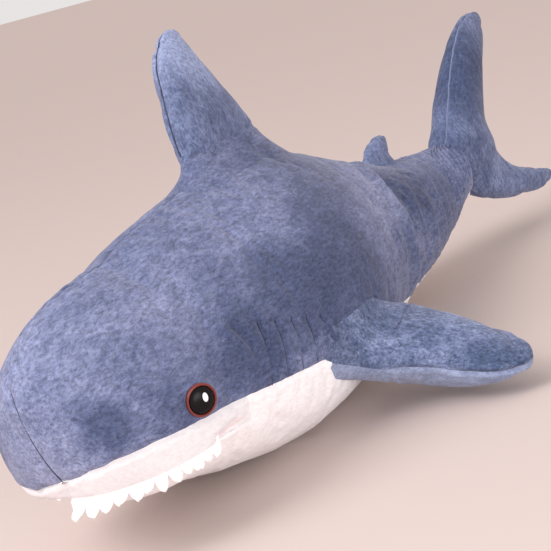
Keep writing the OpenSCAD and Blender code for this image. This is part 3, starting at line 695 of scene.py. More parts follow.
def fold(side, angles, stations, depth, reach, crest):
    """Fold across the body: the skin swells up to the line, drops behind it over the width of the crest, and
    recovers within the reach. The line is given by stations at increasing angles, and it fades at both ends."""
    rise = 0.35
    a = np.degrees(FINE_ANGLE) * side
    line = np.interp(a, angles, stations)
    t = np.clip((a - angles[0]) / (angles[-1] - angles[0]), 0, 1)
    ends = smooth(t / 0.2) * smooth((1 - t) / 0.25)
    ds = FINE_S[:, None] - line
    before = rise * np.exp(-(np.minimum(ds, 0) / (1.6 * crest)) ** 2)
    behind = (rise + 1) * np.exp(-(np.maximum(ds, 0) / crest) ** 2) - np.exp(-np.maximum(ds, 0) / reach)
    return ends * depth * np.where(ds < 0, before, behind) * MM


# Large folds behind the chest: angles, stations, depth, reach, crest
FOLDS = [
    ([4, 24, 40, 55, 75, 100, 145], [652, 606, 580, 566, 563, 556, 552], 15, 40, 10),
    ([14, 45, 70, 105], [588, 540, 524, 520], 5.0, 20, 8),
    ([30, 50, 75, 110], [664, 640, 624, 620], 5.0, 16, 7),
    ([35, 60, 85, 120], [694, 672, 658, 654], 4.4, 13, 6),
    ([40, 70, 95, 125], [716, 700, 690, 690], 3.8, 11, 5.5),
    ([12, 40, 65, 90, 120], [764, 740, 722, 714, 718], 4.0, 11, 5.5)]
# Fine wrinkles that fan out round the stalk from the foot of the tail fin's front seam: the angles, and the
# stations of the first and the last line at these angles
STALK_WRINKLES = 8
STALK_ANGLES = [-12, 28, 52, 74, 96, 125]
STALK_LINES = [838, 782, 758, 746, 744, 750], [858, 852, 850, 846, 844, 846]

for side in (1, -1):
    for i in range(GILLS):
        push += crease(fine, BODY_N, on_body(gill_route(side, i)), 3.4 * MM, 2.6 * MM, 1.9 * MM, fade=0.12)
    push += crease(fine, BODY_N, on_body([(176, side * 60), (186, side * 70), (191, side * 80)], count=12),
                   2.4 * MM, 4 * MM, 2.0 * MM, fade=0.3)
    for angles, stations, depth, reach, crest in FOLDS:
        push += fold(side, angles, stations, depth, reach, crest)
    # Gathers: rounded ridges with narrow valleys, one after another between two lines across the stalk
    a = np.degrees(FINE_ANGLE) * side
    first, last = (np.interp(a, STALK_ANGLES, line) for line in STALK_LINES)
    t = (FINE_S[:, None] - first) / (last - first)
    inside = (smooth(t / 0.1) * smooth((1.04 - t) / 0.08) * smooth((a - STALK_ANGLES[0]) / 16)
              * smooth((STALK_ANGLES[-1] - a) / 40))
    ridges = np.abs(np.sin(np.pi * STALK_WRINKLES * t + 0.5 * np.sin(a / 13))) ** 0.7 - 0.75
    push += 4.4 * MM * inside * ridges
    # The corner of the mouth draws the cheek in behind the last tooth
    push += crease(fine, BODY_N, on_body(mouth_corner_route(side), count=14), 3.0 * MM, 4.0 * MM, 1.4 * MM,
                   fade=0.3)


# ---------- eyes ----------
EYE_STATION, EYE_HEIGHT, EYE_TURN, EYE_TILT, EYE_LIFT = 106, 115, 31, 0, 3
SOCKET_RADIUS, PUCKER_RADIUS = 0.0165, 0.0175


def eye_frame(side):
    """Centre and outward direction of the eye's flat back."""
    a = side * float(angle_at(EYE_STATION, EYE_HEIGHT))
    x, _ = section_xz(EYE_STATION, a)
    t, k = math.radians(EYE_TURN), math.radians(EYE_TILT)
    out = np.array([side * math.cos(t) * math.cos(k), -math.sin(t) * math.cos(k), math.sin(k)])
    return at(EYE_STATION, float(x), EYE_HEIGHT) + out * EYE_LIFT * MM, out


for side in (1, -1):
    centre, out = eye_frame(side)
    offset = fine - centre
    flat = np.linalg.norm(offset - (offset @ out)[..., None] * out, axis=-1)
    near = np.linalg.norm(offset, axis=-1) < 0.05
    # The skin meets the rim all round, and puckers a little outside it
    target = offset @ out
    pull = np.exp(-(flat / SOCKET_RADIUS) ** 4) * near
    push += pull * np.where(BODY_N @ out > 0.2, (-0.0006 - target), 0) * 0.9
    push -= 0.0012 * np.exp(-((flat - PUCKER_RADIUS) / 0.004) ** 2) * near

fine = fine + BODY_N * push[..., None]
fine[..., 2] = np.maximum(fine[..., 2], FLOOR_GAP)


def piece_from(name, grid, flip=False):
    points, faces, _ = weld(grid, False)
    if flip:
        faces = [f[::-1] for f in faces]
    return mesh_object(name, points, faces)


def rows_between(low, high):
    return np.nonzero((FINE_S >= low - 1e-6) & (FINE_S <= high + 1e-6))[0]


def row_near(s):
    return float(FINE_S[int(np.argmin(np.abs(FINE_S - s)))])


CHIN_END = row_near(CHIN_END)
TAIL_SPLIT = row_near(TAIL_SPLIT)
front, rear = rows_between(0, TAIL_SPLIT), rows_between(TAIL_SPLIT, BODY_END)
left_columns = np.arange(0, SEAM_COLUMN + 1)
right_columns = np.r_[np.arange(FINE_COLUMNS - SEAM_COLUMN, FINE_COLUMNS), 0]
belly_columns = np.arange(SEAM_COLUMN, FINE_COLUMNS - SEAM_COLUMN + 1)


def spine(s, z=100):
    return tuple(float(v) for v in at(s, 0, z))


TAIL_BEND, STALK_BEND = (572, 668), (826, 884)


def tail_blend(obj):
    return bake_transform(obj, "torso", "tail", start=spine(TAIL_BEND[0]), end=spine(TAIL_BEND[1]))


def stalk_blend(obj):
    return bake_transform(obj, "tail", "tail_fin", start=spine(STALK_BEND[0]), end=spine(STALK_BEND[1]))


belly_rows = rows_between(CHIN_END, TAIL_SPLIT)
for name, rows, columns, white, bend, fill, nodes in (
        ("left_back_skin", front, left_columns, False, tail_blend, 0.85,
         ("left_back_panel", "head_stuffing", "body_stuffing")),
        ("right_back_skin", front, right_columns, False, tail_blend, 0.85, ("right_back_panel",)),
        ("belly_skin", belly_rows, belly_columns, True, tail_blend, 0.85,
         ("belly_panel", "left_flank_seam_thread", "right_flank_seam_thread")),
        ("left_stalk_skin", rear, left_columns, False, stalk_blend, 0.8, ("tail_left_panel", "tail_stuffing")),
        ("right_stalk_skin", rear, right_columns, False, stalk_blend, 0.8, ("tail_right_panel",)),
        ("stalk_belly_skin", rear, belly_columns, True, stalk_blend, 0.8, ("tail_belly_panel",))):
    obj = piece_from(name, fine[np.ix_(rows, columns)])
    finish_piece(obj, WHITE if white else BLUE, "white_plush" if white else "blue_plush", *nodes, fill=fill)
    bend(obj)

# ---------- lips, chin and the lining of the mouth ----------
LIP_FRONT = FINE_S[np.nonzero(FINE_ANGLE[:, SEAM_COLUMN] > math.radians(179.9))[0].max()]
lip_rows = rows_between(LIP_FRONT, CHIN_END)


def lip_grid(side):
    """White lip of one side, with a hem turned in along the open part of the mouth."""
    columns = np.arange(SEAM_COLUMN, LIP_COLUMN + 1) if side > 0 else \
        np.arange(FINE_COLUMNS - SEAM_COLUMN, FINE_COLUMNS - LIP_COLUMN - 1, -1)
    grid = fine[np.ix_(lip_rows, columns)]
    edge = grid[:, -1]
    inward = -BODY_N[lip_rows][:, columns[-1]].copy()
    inward[:, 2] = 0
    inward /= np.maximum(np.linalg.norm(inward, axis=1, keepdims=True), 1e-9)
    open_part = smooth((MOUTH_CORNER + 8 - FINE_S[lip_rows]) / 12)[:, None]
    hem = []
    for turn in (45, 90, 135, 180):
        t = math.radians(turn)
        down = np.array([0, 0, 1.4 * MM * math.sin(t)])
        hem.append(edge + open_part * (inward * 1.6 * MM * (1 - math.cos(t)) - down))
    hem.append(hem[-1] + open_part * np.array([0, 0, 7 * MM]))
    return np.concatenate([grid, np.stack(hem, 1)], 1)


for side, name in SIDES:
    obj = piece_from(name + "_lip_skin", lip_grid(side), flip=side < 0)
    finish_piece(obj, SHADED_LIP_WHITE, "white_plush", name + "_lip_panel", fill=0.5)
    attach(obj, "torso")

CHIN_FRONT = 50
chin_rows = rows_between(CHIN_FRONT, CHIN_END)
chin_columns = np.arange(LIP_COLUMN, FINE_COLUMNS - LIP_COLUMN + 1)


def chin_grid():
    """Underside of the mouth: set in behind the teeth, and rounded at its front end."""
    grid = fine[np.ix_(chin_rows, chin_columns)].copy()
    s = FINE_S[chin_rows][:, None]
    inset = (JAW_INSET + 0.6) * (1 - smooth((s - 112) / 46))
    normal = BODY_N[np.ix_(chin_rows, chin_columns)]
    grid = grid - normal * (inset * MM)[..., None]
    low = (MOUTH_HEIGHT - 1) * MM
    lift = smooth((CHIN_END - 4 - s) / 20)
    grid[..., 2] = mix(grid[..., 2], np.minimum(grid[..., 2], low), lift)
    u = np.clip((72 - s) / (72 - CHIN_FRONT), 0, 1)
    round_off = np.sqrt(np.clip(1 - u**2, 0, 1))
    middle = at(FINE_S[chin_rows], 0, 0)[:, None]
    across = grid - middle
    grid[..., 0] = middle[..., 0] + across[..., 0] * mix(0.72, 1, round_off)
    grid[..., 2] = low + (grid[..., 2] - low) * np.where(grid[..., 2] < low, round_off, 1)
    return grid


def jaw_blend(obj):
    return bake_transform(obj, "torso", "jaw", start=spine(166, 70), end=spine(112, 70))


chin = chin_grid()
obj = piece_from("chin_skin", chin)
finish_piece(obj, WHITE, "white_plush", "chin_panel", "jaw_stuffing", fill=0.6)
jaw_blend(obj)


def sheet_between(left, right, columns, sag):
    """Surface between two edges that sags (or rises, with sag below 0) in the middle."""
    t = np.linspace(0, 1, columns)[None, :, None]
    grid = left[:, None] * (1 - t) + right[:, None] * t
    grid[..., 2] -= sag * MM * (1 - (2 * t[..., 0] - 1) ** 2)
    return grid


floor_grid = sheet_between(chin[:, 0], chin[:, -1], 17, 5)
obj = piece_from("mouth_floor_skin", floor_grid, flip=True)
finish_piece(obj, PINK, "pink_lining", "mouth_floor_lining")
jaw_blend(obj)

palate_rows = rows_between(22, CHIN_END)
edge_left = fine[palate_rows, LIP_COLUMN]
edge_right = fine[palate_rows, FINE_COLUMNS - LIP_COLUMN]
PALATE_MARGIN = 0.06
palate_lift = [0, 0, 2.5 * MM]
palate_grid = sheet_between(mix(edge_left, edge_right, PALATE_MARGIN) + palate_lift,
                            mix(edge_right, edge_left, PALATE_MARGIN) + palate_lift, 17, -6)
obj = piece_from("palate_skin", palate_grid)
finish_piece(obj, PINK, "pink_lining", "palate_lining")
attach(obj, "torso")


# ---------- teeth ----------
TEETH = 12
TEETH_START, TEETH_END = 1, 118
MOUTH_FRONT = 21.8
LIP_S = np.concatenate([np.linspace(MOUTH_FRONT, 30, 60), np.linspace(30, 130, 80)[1:]])
LIP_X = section_xz(LIP_S, angle_at(LIP_S, MOUTH_HEIGHT))[0]
LIP_ARC = np.concatenate([[0], np.cumsum(np.hypot(np.diff(LIP_S), np.diff(LIP_X)))])


def lip_curve(arc, inset):
    """Station and x of the mouth's edge at a distance along it from the front, moved inwards."""
    s, x = np.interp(arc, LIP_ARC, LIP_S), np.interp(arc, LIP_ARC, LIP_X)
    ds = np.interp(arc + 1, LIP_ARC, LIP_S) - np.interp(arc - 1, LIP_ARC, LIP_S)
    dx = np.interp(arc + 1, LIP_ARC, LIP_X) - np.interp(arc - 1, LIP_ARC, LIP_X)
    size = np.maximum(np.hypot(ds, dx), 1e-6)
    return s + inset * dx / size, x - inset * ds / size


def tooth(side, i):
    """One felt tooth: a rounded point that bows outwards and leans a little, as a sheet of (s, x, z)."""
    t = i / TEETH
    end = np.interp(TEETH_END, LIP_S, LIP_ARC)
    a0, a1 = (mix(TEETH_START, end, (i + k) / TEETH)
              for k in (-RANDOM.uniform(0.05, 0.2), RANDOM.uniform(1.05, 1.25)))
    length = mix(17, 9, t) * RANDOM.uniform(0.75, 1.15)
    lean, turn = RANDOM.uniform(-2.5, 1.5) - 5 * (1 - t) ** 3, RANDOM.uniform(-2.5, 2.5)
    bow = mix(7, 3.5, t) * RANDOM.uniform(0.6, 1.3)
    if side < 0 and i < 7:
        # Bent in under the lip, the shortest ones in front
        length, bow = mix(0.2, 0.8, i / 6) * length, -6
    down = np.sin(np.linspace(0, np.pi / 2, 12))[:, None]
    across = np.linspace(-1, 1, 9)[None]
    width = np.sqrt(np.clip(1 - down**4.5, 0, 1)) * (1 - 0.2 * down)
    arc = (a0 + a1) / 2 + (a1 - a0) / 2 * across * width + lean * down**1.5
    z = MOUTH_HEIGHT + 4 - (length + 4) * down + 0.2 * abs(bow) * down**2
    s, x = lip_curve(arc, 4.4 - bow * down**2 - turn * across * down)
    return np.stack(np.broadcast_arrays(s, side * x, z), -1)


def leaf(sheet, thickness):
    """Closed solid round a sheet of (s, x, z) points: the sheet and its copy further in, joined at the rim."""
    outer = at(sheet[..., 0], sheet[..., 1], sheet[..., 2])
    n = normals_of(outer, False)
    inner_face = outer - n * thickness * MM
    rows, cols = outer.shape[:2]
    ring = [(0, j) for j in range(cols)] + [(i, cols - 1) for i in range(1, rows)] + \
        [(rows - 1, j) for j in range(cols - 2, -1, -1)] + [(i, 0) for i in range(rows - 2, 0, -1)]
    index = lambda side, i, j: side * rows * cols + i * cols + j
    faces = []
    for i in range(rows - 1):
        for j in range(cols - 1):
            quad = [(i, j), (i, j + 1), (i + 1, j + 1), (i + 1, j)]
            faces.append([index(0, *q) for q in quad])
            faces.append([index(1, *q) for q in quad[::-1]])
    for a, b in zip(ring, ring[1:] + ring[:1]):
        faces.append([index(0, *b), index(0, *a), index(1, *a), index(1, *b)])
    return np.concatenate([outer.reshape(-1, 3), inner_face.reshape(-1, 3)]), faces


for side, name in SIDES:
    parts = [leaf(tooth(side, i), side * 1.5) for i in range(TEETH)]
    band_arc = np.linspace(TEETH_START, np.interp(TEETH_END, LIP_S, LIP_ARC) + 2, 70)[None]
    band_z = np.array([MOUTH_HEIGHT + 6.0, MOUTH_HEIGHT + 0.5])[:, None]
    band_s, band_x = lip_curve(band_arc, 5.0)
    band = np.stack(np.broadcast_arrays(band_s, side * band_x, band_z), -1)
    parts.append(leaf(band, side * 1.2))
    obj = joined(name + "_teeth", parts)
    solid = obj.modifiers.new("soft edges", "BEVEL")
    solid.width = 0.0005
    solid.segments = 2
    solid.limit_method = "ANGLE"
    finish_piece(obj, FELT, "white_felt", name + "_teeth_strip")
    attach(obj, "torso")


for side, name in SIDES:
    route = on_body(mouth_corner_route(side), -0.9, count=16)
    obj = joined(name + "_mouth_corner_fold", [tube(route, 1.2 * MM)])
    finish_piece(obj, PALE_PINK, "pink_lining")
    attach(obj, "torso")


# ---------- eyes: lathed rim and domed pupil ----------
HIGHLIGHT_BACK, HIGHLIGHT_UP = 2.2, 2.2


def lathe(name, centre, out, profile, sides=64):
    """Surface turned about an axis. profile is [radius, height] in millimetres."""
    side_way = np.cross(out, [0, 0, 1.0])
    side_way /= np.linalg.norm(side_way)
    up = np.cross(side_way, out)
    turn = np.linspace(0, 2 * np.pi, sides, endpoint=False)
    profile = np.asarray(profile, float) * MM
    ring = (np.cos(turn)[None, :, None] * side_way + np.sin(turn)[None, :, None] * up)
    grid = centre + profile[:, 0][:, None, None] * ring + profile[:, 1][:, None, None] * out
    points, faces, _ = weld(grid, True)
    return mesh_object(name, points, [f[::-1] for f in faces])


# Painted highlight: a white oval on each pupil, up and to the front of its middle, in place of a lamp's reflection
centre, out = eye_frame(1)
forward = np.cross([0, 0, 1.0], out)
forward = -forward / np.linalg.norm(forward)
above = np.cross(forward, out)
painted_highlight_on(PUPIL, centre + (above * HIGHLIGHT_UP - forward * HIGHLIGHT_BACK) * MM, ((forward, 2.4), (above, 3.7)),
        (0.95, 0.95, 0.95))
arc = np.radians(np.linspace(0, 90, 15))
PUPIL_R, DOME = 11.5, 4.6
PUPIL_PROFILE = [[2.5, -9], [PUPIL_R, -1.5]] + \
    [[PUPIL_R * math.cos(t), DOME * math.sin(t) - 0.2] for t in arc[:-1]] + [[0, DOME - 0.2]]
RIM_PROFILE = [[11.2, -1.6], [13.6, -1.6]] + [[12.5 + 1.15 * math.cos(t), 0.4 + 1.5 * math.sin(t)]
                                             for t in np.radians(np.linspace(-10, 190, 13))] + [[11.2, -1.6]]
for side, name in SIDES:
    centre, out = eye_frame(side)
    pupil = lathe(name + "_pupil", centre, out, PUPIL_PROFILE)
    finish_piece(pupil, PUPIL, "eye_black", name + "_eye_pupil", name + "_eye_washer")
    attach(pupil, "torso")
    rim = lathe(name + "_rim", centre, out, RIM_PROFILE)
    finish_piece(rim, RIM, "eye_rim", name + "_eye_rim")
    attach(rim, "torso")

# ---------- gill threads and seam lines -----------------------
for side, name in SIDES:
    parts = []
    for i in range(GILLS):
        route = on_body(gill_route(side, i), -0.1, count=17)
        parts.append(tube(route, 0.75 * MM))
    obj = joined(name + "_gill_threads", parts)
    finish_piece(obj, THREAD, "blue_thread", name + "_gill_stitches")
    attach(obj, "torso")


def seam_line(columns, rows, sink):
    """Row of the skin's own points along a column, sunk by a distance in millimetres."""
    return [fine[i, columns] - BODY_N[i, columns] * sink * MM for i in rows]


top_rows = [i for i in body_rows[::2] if FINE_S[i] < TAIL_SPLIT]
nose = [i for i in range(0, len(FINE_S), 2) if FINE_S[i] < FRONT_SEAM_STATION]
route = seam_line(BELLY_COLUMN, nose[::-1], 0.3) + seam_line(0, [i for i in nose if i > 0], 0.3) + \
    seam_line(0, [i for i in top_rows if i > nose[-1]], 0.3)
obj = joined("dorsal_seam_line", [tube(route, 0.55 * MM)])
finish_piece(obj, THREAD, "blue_thread", "dorsal_seam_thread")
tail_blend(obj)
route = seam_line(0, [i for i in range(len(FINE_S)) if TAIL_SPLIT <= FINE_S[i] < 846], 0.2)
obj = joined("stalk_seam_line", [tube(route, 0.7 * MM)])
finish_piece(obj, THREAD, "blue_thread", "tail_top_seam_thread")
stalk_blend(obj)


# ---------- fins ----------
FLARE = np.linspace(0, 1, 9)[:-1]
TIP_REACH, TIP_START = 0.5, 30
TIP_STEPS = np.array([0.14, 0.28, 0.42, 0.56, 0.7, 0.84, 0.96])


def middle_and_arm(row):
    """Middle of a fin's row, and the way from there to its front edge."""
    front_edge, rear_edge = np.array(row[0:2], float), np.array(row[2:4], float)
    return (front_edge + rear_edge) / 2, (front_edge - rear_edge) / 2


def fin_grid(place, rows, root, columns=56, fineness=5, shift=0, edge=0.9):
    """Closed bag of a fin. rows are [front u, front w, rear u, rear w, half thickness, half thickness of the
    other side]. root gives, for a ring's angles, the points on the body where the fin's foot flares out;
    without it the first row closes in a rounded tip, as the last one does."""
    corner, u, w, n, twist = place
    rows = np.array([r if len(r) > 5 else [*r, r[4]] for r in rows], float)
    fine_rows = curve_through(rows, fineness * (len(rows) - 1) + 1)
    turn = np.linspace(0, 2 * np.pi, columns, endpoint=False) + math.radians(shift)

    def ring(row, shrink=1.0, ahead=np.zeros(2)):
        mid, arm = middle_and_arm(row)
        p = mid + ahead + np.cos(turn)[:, None] * arm * shrink
        half = np.where(np.sin(turn) < 0, row[5], row[4])
        lens = np.sign(np.sin(turn)) * np.abs(np.sin(turn)) ** edge
        q = half * shrink * lens
        t = np.radians(twist(p[:, 1]))
        pu, pn = p[:, 0] * np.cos(t) - q * np.sin(t), p[:, 0] * np.sin(t) + q * np.cos(t)
        return corner + (pu[:, None] * u + p[:, 1:] * w + pn[:, None] * n) * MM

    def tip(row, before):
        """Rings that close the fin beyond its last row in a rounded end."""
        mid, arm = middle_and_arm(row)
        way = mid - middle_and_arm(before)[0]
        way = way / np.linalg.norm(way)
        start = math.radians(TIP_START)
        reach = 2 * TIP_REACH * math.hypot(*arm) / math.cos(start)
        return [ring(row, math.cos(t) / math.cos(start), way * reach * (math.sin(t) - math.sin(start)))
                for t in start + np.radians(90 - TIP_START) * TIP_STEPS]

    grid = [ring(r) for r in fine_rows] + tip(fine_rows[-1], fine_rows[-4])
    if root:
        foot, drop = root(turn)
        bend = grid[0] - drop * MM * w
        grid = [(1 - t) ** 2 * foot + 2 * t * (1 - t) * bend + t * t * grid[0] for t in FLARE] + grid
    else:
        grid = tip(fine_rows[0], fine_rows[3])[::-1] + grid
    return np.array(grid)


def body_top(x, y):
    """Height of the body's back above the points x, y, given and returned in millimetres."""
    s = np.interp(y + ORIGIN_STATION, SPINE_Y, SPINE_S)
    ahead = (x - np.interp(s, SPINE_S, SPINE_X)) * np.tan(heading(s))
    s = np.interp(y + ORIGIN_STATION + ahead, SPINE_Y, SPINE_S)
    out = (x - np.interp(s, SPINE_S, SPINE_X)) / np.cos(heading(s))
    top, _, half, widest = section(s)
    sine = np.clip(np.abs(out) / half, 0, 1) ** (1 / back_power(s))
    return widest + (top - widest) * np.sqrt(1 - sine**2)


def nearest_skin(points, sink):
    """The points moved onto the finished skin of the body, sunk by a distance in millimetres."""
    skin, normal = fine.reshape(-1, 3), BODY_N.reshape(-1, 3)
    out = []
    for q in points:
        d = np.linalg.norm(skin - q, axis=1)
        k = np.argsort(d)[:6]
        weight = 1 / (d[k] + 1e-4)
        n = (normal[k] * weight[:, None]).sum(0)
        n /= np.linalg.norm(n)
        base = (skin[k] * weight[:, None]).sum(0) / weight.sum()
        out.append(q - ((q - base) @ n + sink * MM) * n)
    return np.array(out)


def back_root(place, row, flare, far_flare, drop):
    """Foot of a fin on the back, flared by a distance at its sides and a larger one at its front and rear."""
    def foot(turn):
        mid, arm = middle_and_arm(row)
        out_u, out_n = np.cos(turn) / max(abs(arm[0]), 1), np.sin(turn) / row[4]
        size = np.hypot(out_u, out_n)
        grow = mix(flare, far_flare, np.abs(np.cos(turn)) ** 3)
        pu = mid[0] + np.cos(turn) * arm[0] + np.sign(arm[0]) * grow * out_u / size
        pn = np.sin(turn) * row[4] + grow * out_n / size
        corner, u, _, n, _ = place
        across = np.array([n[0], n[1], 0]) / math.hypot(n[0], n[1])
        level = np.array([u[0], u[1], 0]) / math.hypot(u[0], u[1])
        p = corner / MM + pu[:, None] * level + pn[:, None] * across
        p[:, 2] = body_top(p[:, 0], p[:, 1])
        return nearest_skin(p * MM, 0.6), drop
    return foot


def side_root(side, centre_s, centre_z, half_s, half_z, drop):
    """Foot of a side fin: an oval on the flank."""
    def foot(turn):
        s = centre_s - half_s * np.cos(turn)
        z = centre_z - side * half_z * np.sin(turn)
        return nearest_skin(skin_point(s, side * angle_at(s, z)), 0.6), drop
    return foot


def fin_skin(place, rows, root, seam_depth=1.8, slack=0.012, cap=5, columns=56, base_seam=2.0, shift=0, edge=0.9):
    """Plumped and refined grid of a fin, with grooves along its seams and gathers round its foot."""
    grid = fin_grid(place, rows, root, columns, shift=shift, edge=edge)
    pins = np.zeros(grid.shape[:2])
    pins[:, 0] = pins[:, columns // 2] = 0.9
    if root:
        pins[:len(FLARE)] = 1
    grid = plump(grid, True, pins, slack, pressure=3.0, cap=cap)
    grid = refine(refine(grid, 0), 1, around=True)
    n = normals_of(grid, True)
    middle = grid.mean(1, keepdims=True)
    if float(((grid - middle) * n).sum()) < 0:
        n = -n
    first = 2 * len(FLARE) if root else 0
    for column in (0, columns):
        grid = grid + n * crease(grid, n, grid[first:, column], seam_depth * MM, 2.2 * MM, 0.4 * seam_depth * MM,
                                 fade=0.02)[..., None]
    if root:
        # The seam round the fin's base, with small gathers on both sides of it
        rows, turn = np.arange(len(grid))[:, None], np.linspace(0, 2 * np.pi, grid.shape[1], endpoint=False)
        gathers = np.sin(23 * turn + 2 * np.sin(3 * turn)) * np.exp(-(((rows - first) / 5.0) ** 2))
        groove = 0.3 * np.exp(-(((rows - first) / 4.5) ** 2)) - np.exp(-(((rows - first) / 1.6) ** 2))
        grid = grid + n * ((base_seam * groove + 0.25 * base_seam * gathers) * MM)[..., None]
    return grid


def fin_panels(grid, panels, bend, flip=False, closed=False, foot=None):
    """The two panels of a fin, split along its seam. panels are (name, material, slot, replaced nodes), bend is
    called on each piece, closed draws the first row to a point, and foot names a piece for the flared foot."""
    columns = grid.shape[1]
    if foot:
        foot_rows = grid[:2 * len(FLARE) + 1]
        obj = piece_from(foot, np.concatenate([foot_rows, foot_rows[:, :1]], 1), flip=flip)
        bend(finish_piece(obj, BLUE, "blue_plush", fill=0.5))
        grid = grid[2 * len(FLARE):]
    halves = (np.arange(0, columns // 2 + 1), np.r_[np.arange(columns // 2, columns), 0])
    for (name, material, slot, nodes), half in zip(panels, halves):
        ends = [np.broadcast_to(grid[k].mean(0), (1, len(half), 3)) for k in (0, -1)]
        part = np.concatenate(([ends[0]] if closed else []) + [grid[:, half], ends[1]])
        bend(finish_piece(piece_from(name, part, flip=flip), material, slot, *nodes, fill=0.8))


def fin_blend():
    return lambda obj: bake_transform(obj)


PECTORAL = [[6, 38, 108, 35, 20, 33], [11, 50, 105, 47, 19, 35], [14, 75, 98, 70, 19, 36],
            [13, 104, 90, 96, 17, 32], [16, 128, 81, 119, 13, 25], [20, 140, 76, 133, 11, 20],
            [28, 151, 66, 147, 9, 14]]
DORSAL = [[0, 9, 145, 9, 15], [12, 40, 133, 40, 18], [27, 70, 122, 70, 17], [42, 95, 114, 95, 14],
          [56, 110, 113, 110, 11], [69, 119, 111, 120, 8]]
REAR_DORSAL = [[15, 4, 57, 4, 10], [23, 12, 56, 12, 9], [32, 18, 56, 18, 7]]
CAUDAL = [[142, -66, 149, -56, 5], [118, -70, 142, -50, 9], [80, -66, 120, -42, 15], [42, -57, 94, -31, 20],
          [8, -40, 76, -16, 24], [-15, -10, 64, 2, 28], [-24, 12, 62, 20, 31], [-34, 31, 63, 36, 30],
          [-25, 48, 68, 48, 27], [-4, 80, 81, 78, 24], [20, 112, 102, 110, 20], [43, 136, 125, 136, 15],
          [62, 152, 135, 157, 11]]


def swapped(rows):
    """The rows of a fin with the thicknesses of its two sides exchanged."""
    return [[r[0], r[1], r[2], r[3], r[5], r[4]] for r in rows]


for side, name in SIDES:
    place = pectoral_frame(side)
    grid = fin_skin(place, swapped(PECTORAL) if side > 0 else PECTORAL, side_root(side, 329, 77, 60, 34, 22))
    top = (name + "_side_fin_top_skin", BLUE_SIDE, "blue_plush",
           [name + "_pectoral_top_panel", name + "_pectoral_stuffing", name + "_pectoral_edge_thread"])
    under = (name + "_side_fin_under_skin", BLUE_UNDER, "blue_plush_underside", [name + "_pectoral_under_panel"])
    fin_panels(grid, (under, top) if side > 0 else (top, under),
               fin_blend(), flip=side < 0)

grid = fin_skin(dorsal_place, DORSAL, back_root(dorsal_place, DORSAL[0], 19, 32, 12))
bend = fin_blend()
fin_panels(grid, (("dorsal_fin_left_skin", BLUE_FIN, "blue_plush",
                   ["dorsal_fin_left_panel", "dorsal_fin_stuffing"]),
                  ("dorsal_fin_right_skin", BLUE_FIN, "blue_plush", ["dorsal_fin_right_panel"])), bend,
           foot="dorsal_fin_foot_skin")
obj = joined("dorsal_fin_edge_seam", [tube(grid[2 * len(FLARE) + 2:-4, 0], 0.9 * MM)])
bend(finish_piece(obj, THREAD, "blue_thread", "dorsal_fin_edge_thread"))

grid = fin_skin(rear_place, REAR_DORSAL, back_root(rear_place, REAR_DORSAL[0], 7, 9, 5), 1.0, cap=3, columns=40,
                base_seam=0.7)
fin_panels(grid, (("rear_dorsal_left_skin", BLUE_FIN, "blue_plush",
                   ["rear_dorsal_left_panel", "rear_dorsal_stuffing"]),
                  ("rear_dorsal_right_skin", BLUE_FIN, "blue_plush", ["rear_dorsal_right_panel"])),
           fin_blend())

grid = fin_skin(caudal_place, CAUDAL, None, 2.4, shift=6, edge=0.65)
fin_panels(grid, (("tail_fin_left_skin", BLUE_FIN, "blue_plush",
                   ["caudal_fin_left_panel", "caudal_fin_stuffing"]),
                  ("tail_fin_right_skin", BLUE_FIN, "blue_plush", ["caudal_fin_right_panel"])), stalk_blend,
           closed=True)
# The front seam, from the foot of the upper lobe to near its tip
obj = joined("tail_fin_edge_seam", [tube(grid[86:-8, 0], 1.5 * MM)])
stalk_blend(finish_piece(obj, PALE_THREAD, "blue_thread", "caudal_fin_edge_thread"))

# ---------- closing stitches and care label ----------
CLOSING_STITCHES, CLOSING_START, CLOSING_STEP = 9, 500, 9
parts = []
for k in range(CLOSING_STITCHES):
    s = CLOSING_START + CLOSING_STEP * k
    z = float(section(s)[1]) - 0.6
    bend = [(s, -5, z), (s + 1, -3, z - 0.8), (s + 2, 3, z - 0.8), (s + 3, 5, z)]
    parts.append(tube(curve_through([at(*b) for b in bend], 9), 0.7 * MM))
obj = joined("belly_closure_threads", parts)
finish_piece(obj, WHITE_THREAD, "white_thread", "belly_closure_stitches")
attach(obj, "torso")

LABEL_STATION, LABEL_LENGTH, LABEL_WIDTH = 446, 22, 20
label_root = skin_point(LABEL_STATION, seam_angle(LABEL_STATION), -3)
tilt = math.radians(60)
lift_way = np.array([math.cos(tilt), 0, math.sin(tilt)])
across_way = np.array([0, 1.0, 0])
normal_way = np.cross(across_way, lift_way)
t = np.linspace(0, 1, 12)
half_loop = [(-2 + (LABEL_LENGTH + 2) * k, 0.7 * math.sin(math.pi * min(1, 1.4 * k)) + 0.5) for k in t]
outline = half_loop + [(LABEL_LENGTH + 0.8, 0)] + [(x, -y) for x, y in half_loop[::-1]]
label = np.array([[label_root + (lift_way * x + normal_way * (y + 1.5 * (x / LABEL_LENGTH) ** 2)
                                 + across_way * LABEL_WIDTH * (c - 0.5)) * MM for c in np.linspace(0, 1, 9)]
                  for x, y in outline])
obj = piece_from("care_label_tape", label)
thick = obj.modifiers.new("tape thickness", "SOLIDIFY")
thick.thickness = 0.0004
finish_piece(obj, TAPE, "label_tape", "care_label")
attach(obj, "torso")

# ---------- floor, light and camera ----------
floor_mat = new_material("pale_floor")
set_surface(floor_mat, Base_Color=(0.61, 0.515, 0.485, 1), Roughness=1.0, Specular_IOR_Level=0.0)
bpy.ops.mesh.primitive_circle_add(vertices=96, radius=60, fill_type="NGON", location=(0, 0, 0))
floor = bpy.context.object
floor.name = "floor"
floor.data.materials.append(floor_mat)

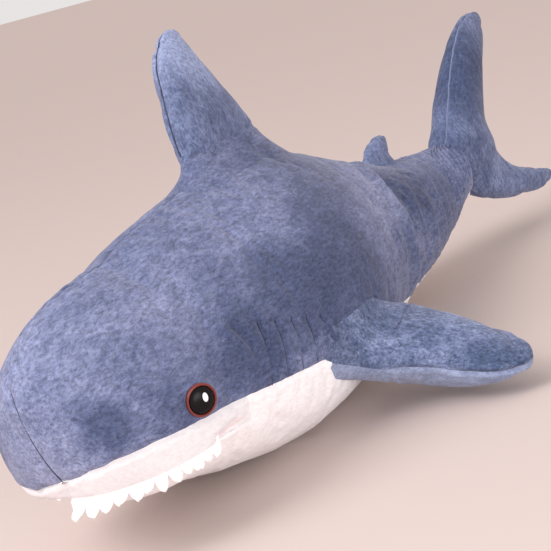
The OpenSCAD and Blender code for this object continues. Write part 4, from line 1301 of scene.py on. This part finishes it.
world = bpy.data.worlds.new("studio")
bpy.context.scene.world = world
world.use_nodes = True
world.node_tree.nodes["Background"].inputs["Color"].default_value = (1.0, 0.965, 0.955, 1)
world.node_tree.nodes["Background"].inputs["Strength"].default_value = 0.80


def area_light(name, location, target, size, power, colour=(1, 1, 1)):
    data = bpy.data.lights.new(name, "AREA")
    data.shape = "DISK"
    data.size = size
    data.energy = power
    data.color = colour
    obj = bpy.data.objects.new(name, data)
    bpy.context.scene.collection.objects.link(obj)
    obj.location = location
    obj.rotation_euler = (Vector(target) - Vector(location)).to_track_quat("-Z", "Y").to_euler()
    return obj


area_light("key", (-0.8, -1.8, 1.7), (0, -0.1, 0.1), 1.3, 34, (0.97, 0.99, 1.0))
area_light("fill", (1.9, -1.3, 0.35), (0, -0.1, 0.05), 1.4, 28, (0.97, 0.99, 1.0))
sun_data = bpy.data.lights.new("sun", "SUN")
sun_data.energy = 0.8
sun_data.color = (1.0, 0.86, 0.82)
sun_data.angle = math.radians(40)
sun = bpy.data.objects.new("sun", sun_data)
bpy.context.scene.collection.objects.link(sun)
sun.rotation_euler = (math.radians(25), math.radians(-20), 0)

CAMERA_PLACE = (0.675, -1.112, 0.439)
CAMERA_AZIMUTH, CAMERA_ELEVATION, CAMERA_ROLL = 29.8, -13.25, -15.2
LENS, SENSOR = 90.6, 36.0


def camera():
    """Camera that looks down on the snout from the shark's left, rolled as the picture is."""
    az, el, roll = (math.radians(v) for v in (CAMERA_AZIMUTH, CAMERA_ELEVATION, CAMERA_ROLL))
    ahead = Vector((-math.sin(az) * math.cos(el), math.cos(az) * math.cos(el), math.sin(el)))
    level = Vector((math.cos(az), math.sin(az), 0))
    up = level.cross(ahead)
    right = level * math.cos(roll) + up * math.sin(roll)
    top = right.cross(ahead)
    data = bpy.data.cameras.new("camera")
    data.lens, data.sensor_width = LENS, SENSOR
    data.clip_start, data.clip_end = 0.05, 50
    obj = bpy.data.objects.new("camera", data)
    bpy.context.scene.collection.objects.link(obj)
    turned = Matrix((right, top, -ahead)).transposed().to_4x4()
    obj.matrix_world = Matrix.Translation(CAMERA_PLACE) @ turned
    bpy.context.scene.camera = obj


camera()
bpy.context.scene.view_settings.view_transform = "Standard"
